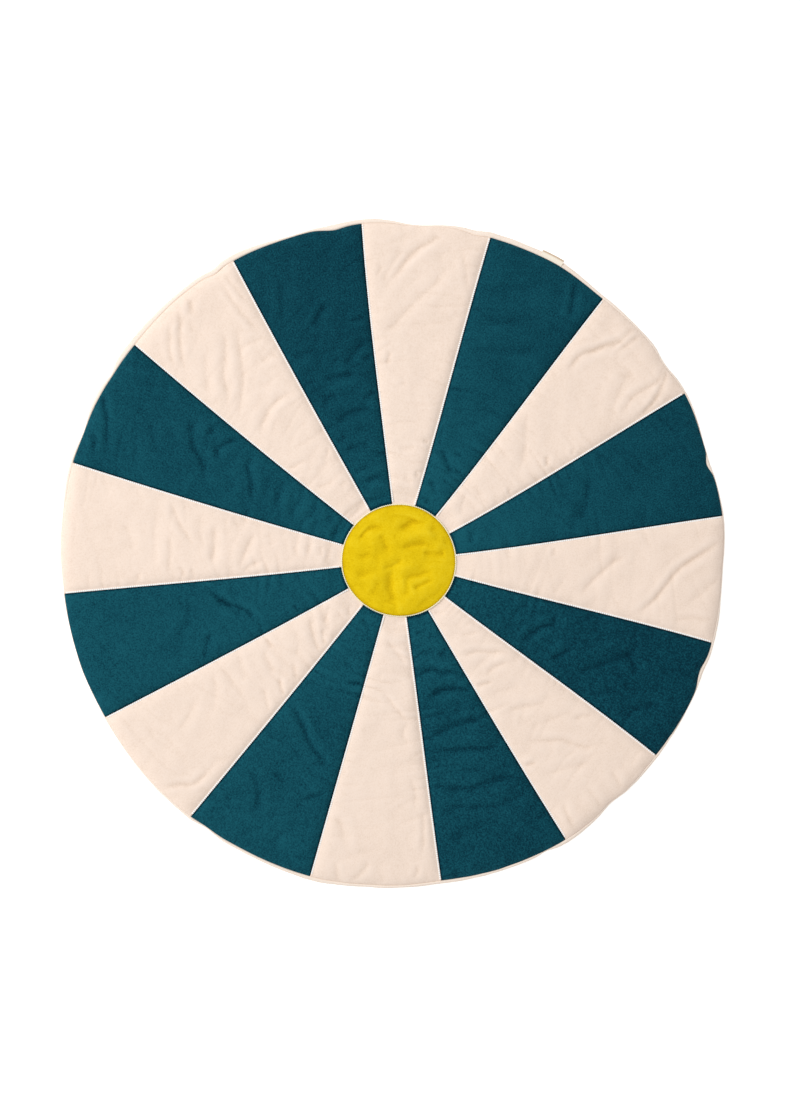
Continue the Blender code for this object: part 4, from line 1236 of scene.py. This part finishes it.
def seam_stitches(offset, start_radius, height):
    """Both ends of the stitches along every seam, `offset` from it on the cream side, at z of `height`."""
    ends = ([], [])
    for seam in range(len(WEDGES)):
        cream = seam if seam % 2 == 1 else (seam - 1) % len(WEDGES)
        share_at_seam = 0.0 if seam == cream else 1.0
        stop = float(panel_end(cream, share_at_seam)) - STITCH_STOP
        first = start_radius + STITCH_PITCH * (STITCH_SHIFT * seam % 1.0)
        near = np.arange(first, stop - STITCH_LENGTH, STITCH_PITCH)
        distance = offset + STITCH_WOBBLE * noise(near, 29.0 * seam, 6.0, 61)
        for made, radius in zip(ends, (near, near + STITCH_LENGTH)):
            share = np.abs(share_at_seam - distance / wedge_width(cream, radius))
            x, y = place(cream, radius, share)
            made.append(np.stack((x, y, height(cream, radius, share)), axis=1))
    return np.concatenate(ends[0]), np.concatenate(ends[1])


def top_stitch_height(index, radius, share):
    return panel_top(index, radius, share)[0] + STITCH_LIFT


def back_stitch_height(index, radius, share):
    return np.maximum(pad_under(index, radius, share) - BACK_STITCH_SINK, BACK_STITCH_LEAST)


def zigzag_corners():
    """Corners of the zigzag round the disc, by turns on the disc and on the wedges beside it."""
    angle = 2.0 * math.pi * np.arange(2 * ZIGZAG_TEETH + 1) / (2 * ZIGZAG_TEETH)
    edge = disc_edge(angle)
    out = np.where(np.arange(len(angle)) % 2 == 0, ZIGZAG_INNER, ZIGZAG_OUTER)
    x = DISC_CENTRE[0] + (edge + out) * np.cos(angle)
    y = DISC_CENTRE[1] + (edge + out) * np.sin(angle)
    near = edge - ZIGZAG_GRIP
    on_disc, _ = disc_top(DISC_CENTRE[0] + near * np.cos(angle), DISC_CENTRE[1] + near * np.sin(angle))
    return np.stack((x, y, np.where(out < 0.0, on_disc + ZIGZAG_LIFT, ZIGZAG_LEVEL)), axis=1)


def make_stitches(thread, yellow_thread):
    """The topstitching on the cream side of every seam, its other side underneath, and the disc's zigzag."""
    tops = seam_stitches(STITCH_OFFSET, STITCH_START, top_stitch_height)
    make_threads("seam_stitches", *tops, STITCH_RADIUS, 1.0, thread, "label_tape")
    bottoms = seam_stitches(0.0, BACK_STITCH_START, back_stitch_height)
    make_threads("back_stitches", *bottoms, BACK_STITCH_RADIUS, -1.0, thread, "label_tape")
    corners = zigzag_corners()
    zigzag = (corners[:-1], corners[1:])
    make_threads("disc_stitches", *zigzag, ZIGZAG_RADIUS, 1.0, yellow_thread, "yellow_cloth")


def add_node(tree, kind, inputs=(), **settings):
    """A shader node with its settings, its inputs set or linked by name or number."""
    made = tree.nodes.new(kind)
    for name, value in settings.items():
        setattr(made, name, value)
    for key, value in dict(inputs).items():
        if isinstance(value, bpy.types.NodeSocket):
            tree.links.new(value, made.inputs[key])
        else:
            made.inputs[key].default_value = value
    return made


def compute(tree, operation, *values):
    return add_node(tree, "ShaderNodeMath", enumerate(values), operation=operation).outputs[0]


def attribute(tree, name, output="Fac"):
    return add_node(tree, "ShaderNodeAttribute", attribute_name=name).outputs[output]


def axes_of(tree, vector):
    return add_node(tree, "ShaderNodeSeparateXYZ", {0: vector}).outputs


def cloth_noise(tree, vector, size, detail=2.0, stretch=(1.0, 1.0, 1.0)):
    """Noise from -0.5 to 0.5 in lumps of the given size, stretched along the cloth's axes."""
    scale = tuple(1.0 / (size * factor) for factor in stretch)
    scaled = add_node(tree, "ShaderNodeVectorMath", {0: vector, 1: scale}, operation="MULTIPLY").outputs[0]
    texture = add_node(tree, "ShaderNodeTexNoise", {"Vector": scaled, "Scale": 1.0, "Detail": detail})
    return compute(tree, "SUBTRACT", texture.outputs[0], 0.5)


def weave(tree, vector, pitch):
    """Plain weave: a bump where a thread passes over, and a dip where it passes under."""
    stray = cloth_noise(tree, vector, 7.0, 1.0)
    strayed = add_node(tree, "ShaderNodeVectorMath", {0: vector, 1: stray}, operation="ADD").outputs[0]
    axes = axes_of(tree, strayed)
    waves = [compute(tree, "SINE", compute(tree, "MULTIPLY", axes[k], math.pi / pitch)) for k in (0, 1)]
    return compute(tree, "MULTIPLY", *waves)


def weighted(tree, terms, start):
    """start plus the sum of each socket times its weight."""
    total = start
    for socket, weight in terms:
        total = compute(tree, "MULTIPLY_ADD", socket, weight, total)
    return total


def start_material(name, roughness, sheen, sheen_tint):
    """A matt material with a nap, and its node tree."""
    material = bpy.data.materials.new(name)
    material.use_nodes = True
    inputs = material.node_tree.nodes["Principled BSDF"].inputs
    inputs["Roughness"].default_value = roughness
    inputs["Specular IOR Level"].default_value = 0.08
    inputs["Sheen Weight"].default_value = sheen
    inputs["Sheen Roughness"].default_value = 0.45
    inputs["Sheen Tint"].default_value = (*sheen_tint, 1.0)
    return material, material.node_tree


def colour_ramp(tree, factor, stops):
    """A colour ramp through (position, colour) stops."""
    ramp = add_node(tree, "ShaderNodeValToRGB", {0: factor})
    elements = ramp.color_ramp.elements
    while len(elements) < len(stops):
        elements.new(0.5)
    for element, (position, colour) in zip(elements, stops):
        element.position = position
        element.color = (*colour, 1.0)
    return ramp.outputs[0]


def set_surface(tree, colour, height, strength, depth):
    """Links a colour, and a bump of a height between 0 and 1, to the tree's shader."""
    inputs = tree.nodes["Principled BSDF"].inputs
    tree.links.new(colour, inputs["Base Color"])
    bump = add_node(tree, "ShaderNodeBump", {"Strength": strength, "Distance": depth, "Height": height})
    tree.links.new(bump.outputs[0], inputs["Normal"])


def canvas(name):
    """Washed plain-weave cotton: its mottling, uneven threads and weave."""
    cloth = CLOTHS[name]
    label = f"{name}_canvas"
    material, tree = start_material(label, roughness=0.92, sheen=cloth.sheen, sheen_tint=cloth.light)
    flat = attribute(tree, "flat", "Vector")
    threads = weave(tree, flat, WEAVE_PITCH)
    warp = cloth_noise(tree, flat, 1.0, 2.0, (YARN_LENGTH, YARN_WIDTH, 1.0))
    weft = cloth_noise(tree, flat, 1.0, 2.0, (YARN_WIDTH, YARN_LENGTH, 1.0))
    speckle = cloth_noise(tree, flat, SPECKLE_SIZE, 2.0)
    mottle = cloth_noise(tree, flat, MOTTLE_SIZE, 3.0)
    blotch = cloth_noise(tree, flat, BLOTCH_SIZE, 3.0)
    terms = (
        (speckle, 1.8 * cloth.mottle),
        (mottle, 0.2 * cloth.mottle),
        (blotch, cloth.blotch),
        (warp, 0.5 * cloth.mottle),
        (weft, 0.5 * cloth.mottle),
        (threads, 0.25 * cloth.mottle),
        # relief paints shade in the folds' troughs and light on their ridges; tone brings painted light and
        # shade
        (attribute(tree, "relief"), cloth.relief),
        (attribute(tree, "tone"), cloth.tone),
    )
    stops = ((0.0, cloth.dark), (0.5, cloth.colour), (1.0, cloth.light))
    colour = colour_ramp(tree, weighted(tree, terms, 0.5), stops)
    height = weighted(tree, ((threads, 0.5), (warp, 1.2), (weft, 1.2), (speckle, 1.4), (mottle, 2.4)), 0.5)
    set_surface(tree, colour, height, strength=0.6, depth=0.00016)
    return material


def thread_material(name, colour, dark):
    """Spun sewing thread: two plies that wind round each other."""
    material, tree = start_material(name, roughness=0.7, sheen=0.15, sheen_tint=colour)
    axes = axes_of(tree, attribute(tree, "flat", "Vector"))
    phase = compute(tree, "MULTIPLY", compute(tree, "ADD", axes[0], axes[1]), 2.0 * math.pi / PLY_PITCH)
    plies = compute(tree, "MULTIPLY_ADD", compute(tree, "SINE", phase), 0.5, 0.5)
    shades = colour_ramp(tree, plies, ((0.0, dark), (0.5, colour)))
    set_surface(tree, shades, plies, strength=0.6, depth=0.0001)
    return material


def tape_material():
    """Off-white woven tape, ribbed across, with nothing on it."""
    material, tree = start_material("label_tape", roughness=0.8, sheen=0.1, sheen_tint=(0.9, 0.88, 0.82))
    flat = attribute(tree, "flat", "Vector")
    ribs = compute(tree, "SINE", compute(tree, "MULTIPLY", axes_of(tree, flat)[1], 2.0 * math.pi / RIB_PITCH))
    fuzz = cloth_noise(tree, flat, 1.2, 2.0)
    # tone paints shade along the label's fold, towards the brown first stop
    factor = weighted(tree, ((ribs, 0.12), (fuzz, 0.5), (attribute(tree, "tone"), 1.0)), 0.5)
    stops = ((0.0, (0.62, 0.47, 0.34)), (0.5, (0.93, 0.85, 0.72)), (1.0, (0.97, 0.91, 0.81)))
    set_surface(tree, colour_ramp(tree, factor, stops), factor, strength=0.5, depth=0.00012)
    return material


def make_floor():
    """A plain white floor."""
    mesh = bpy.data.meshes.new("floor")
    corners = [(x * FLOOR_HALF, y * FLOOR_HALF, 0.0) for x, y in ((-1, -1), (1, -1), (1, 1), (-1, 1))]
    mesh.from_pydata(corners, [], [(0, 1, 2, 3)])
    material = bpy.data.materials.new("floor_white")
    material.use_nodes = True
    inputs = material.node_tree.nodes["Principled BSDF"].inputs
    inputs["Base Color"].default_value = (0.93, 0.93, 0.93, 1.0)
    inputs["Roughness"].default_value = 0.9
    inputs["Emission Color"].default_value = (1.0, 1.0, 1.0, 1.0)
    inputs["Emission Strength"].default_value = FLOOR_GLOW
    mesh.materials.append(material)
    floor = bpy.data.objects.new("floor", mesh)
    floor.location.z = FLOOR_LEVEL
    bpy.context.scene.collection.objects.link(floor)


def make_light():
    """Even light from all round, and a large soft light from the upper left."""
    world = bpy.data.worlds.new("studio")
    world.use_nodes = True
    inputs = world.node_tree.nodes["Background"].inputs
    inputs["Color"].default_value = (1.0, 1.0, 1.0, 1.0)
    inputs["Strength"].default_value = ROOM_LIGHT
    bpy.context.scene.world = world
    light = bpy.data.lights.new("softbox", "AREA")
    light.shape = "SQUARE"
    light.size = SOFTBOX_SIZE
    light.energy = SOFTBOX_POWER
    softbox = bpy.data.objects.new("softbox", light)
    softbox.location = SOFTBOX_AT
    softbox.rotation_euler = (-softbox.location).to_track_quat("-Z", "Y").to_euler()
    bpy.context.scene.collection.objects.link(softbox)
    bpy.context.scene.view_settings.view_transform = "Standard"


def make_camera():
    """Straight down over the mat, as in the photograph."""
    data = bpy.data.cameras.new("camera")
    data.sensor_width = SENSOR
    data.lens = SENSOR * (CAMERA_HEIGHT - RIM_TOP) / VIEW_HEIGHT
    camera = bpy.data.objects.new("camera", data)
    camera.location = (CAMERA_AT[0] * METRES, CAMERA_AT[1] * METRES, CAMERA_HEIGHT * METRES)
    bpy.context.scene.collection.objects.link(camera)
    bpy.context.scene.camera = camera


def build():
    clear_startup()
    make_camera()
    make_light()
    make_floor()
    cloths = {name: canvas(name) for name in CLOTHS}
    thread = thread_material("seam_thread", (1.0, 1.0, 0.99), (0.97, 0.96, 0.94))
    yellow_thread = thread_material("disc_thread", (1.0, 0.97, 0.70), (0.99, 0.92, 0.58))
    make_pad(cloths["back"])
    for index, wedge in enumerate(WEDGES):
        make_panel(index, cloths[wedge.name.split("_")[0]])
    make_disc(cloths["yellow"])
    make_label(tape_material())
    make_stitches(thread, yellow_thread)


build()
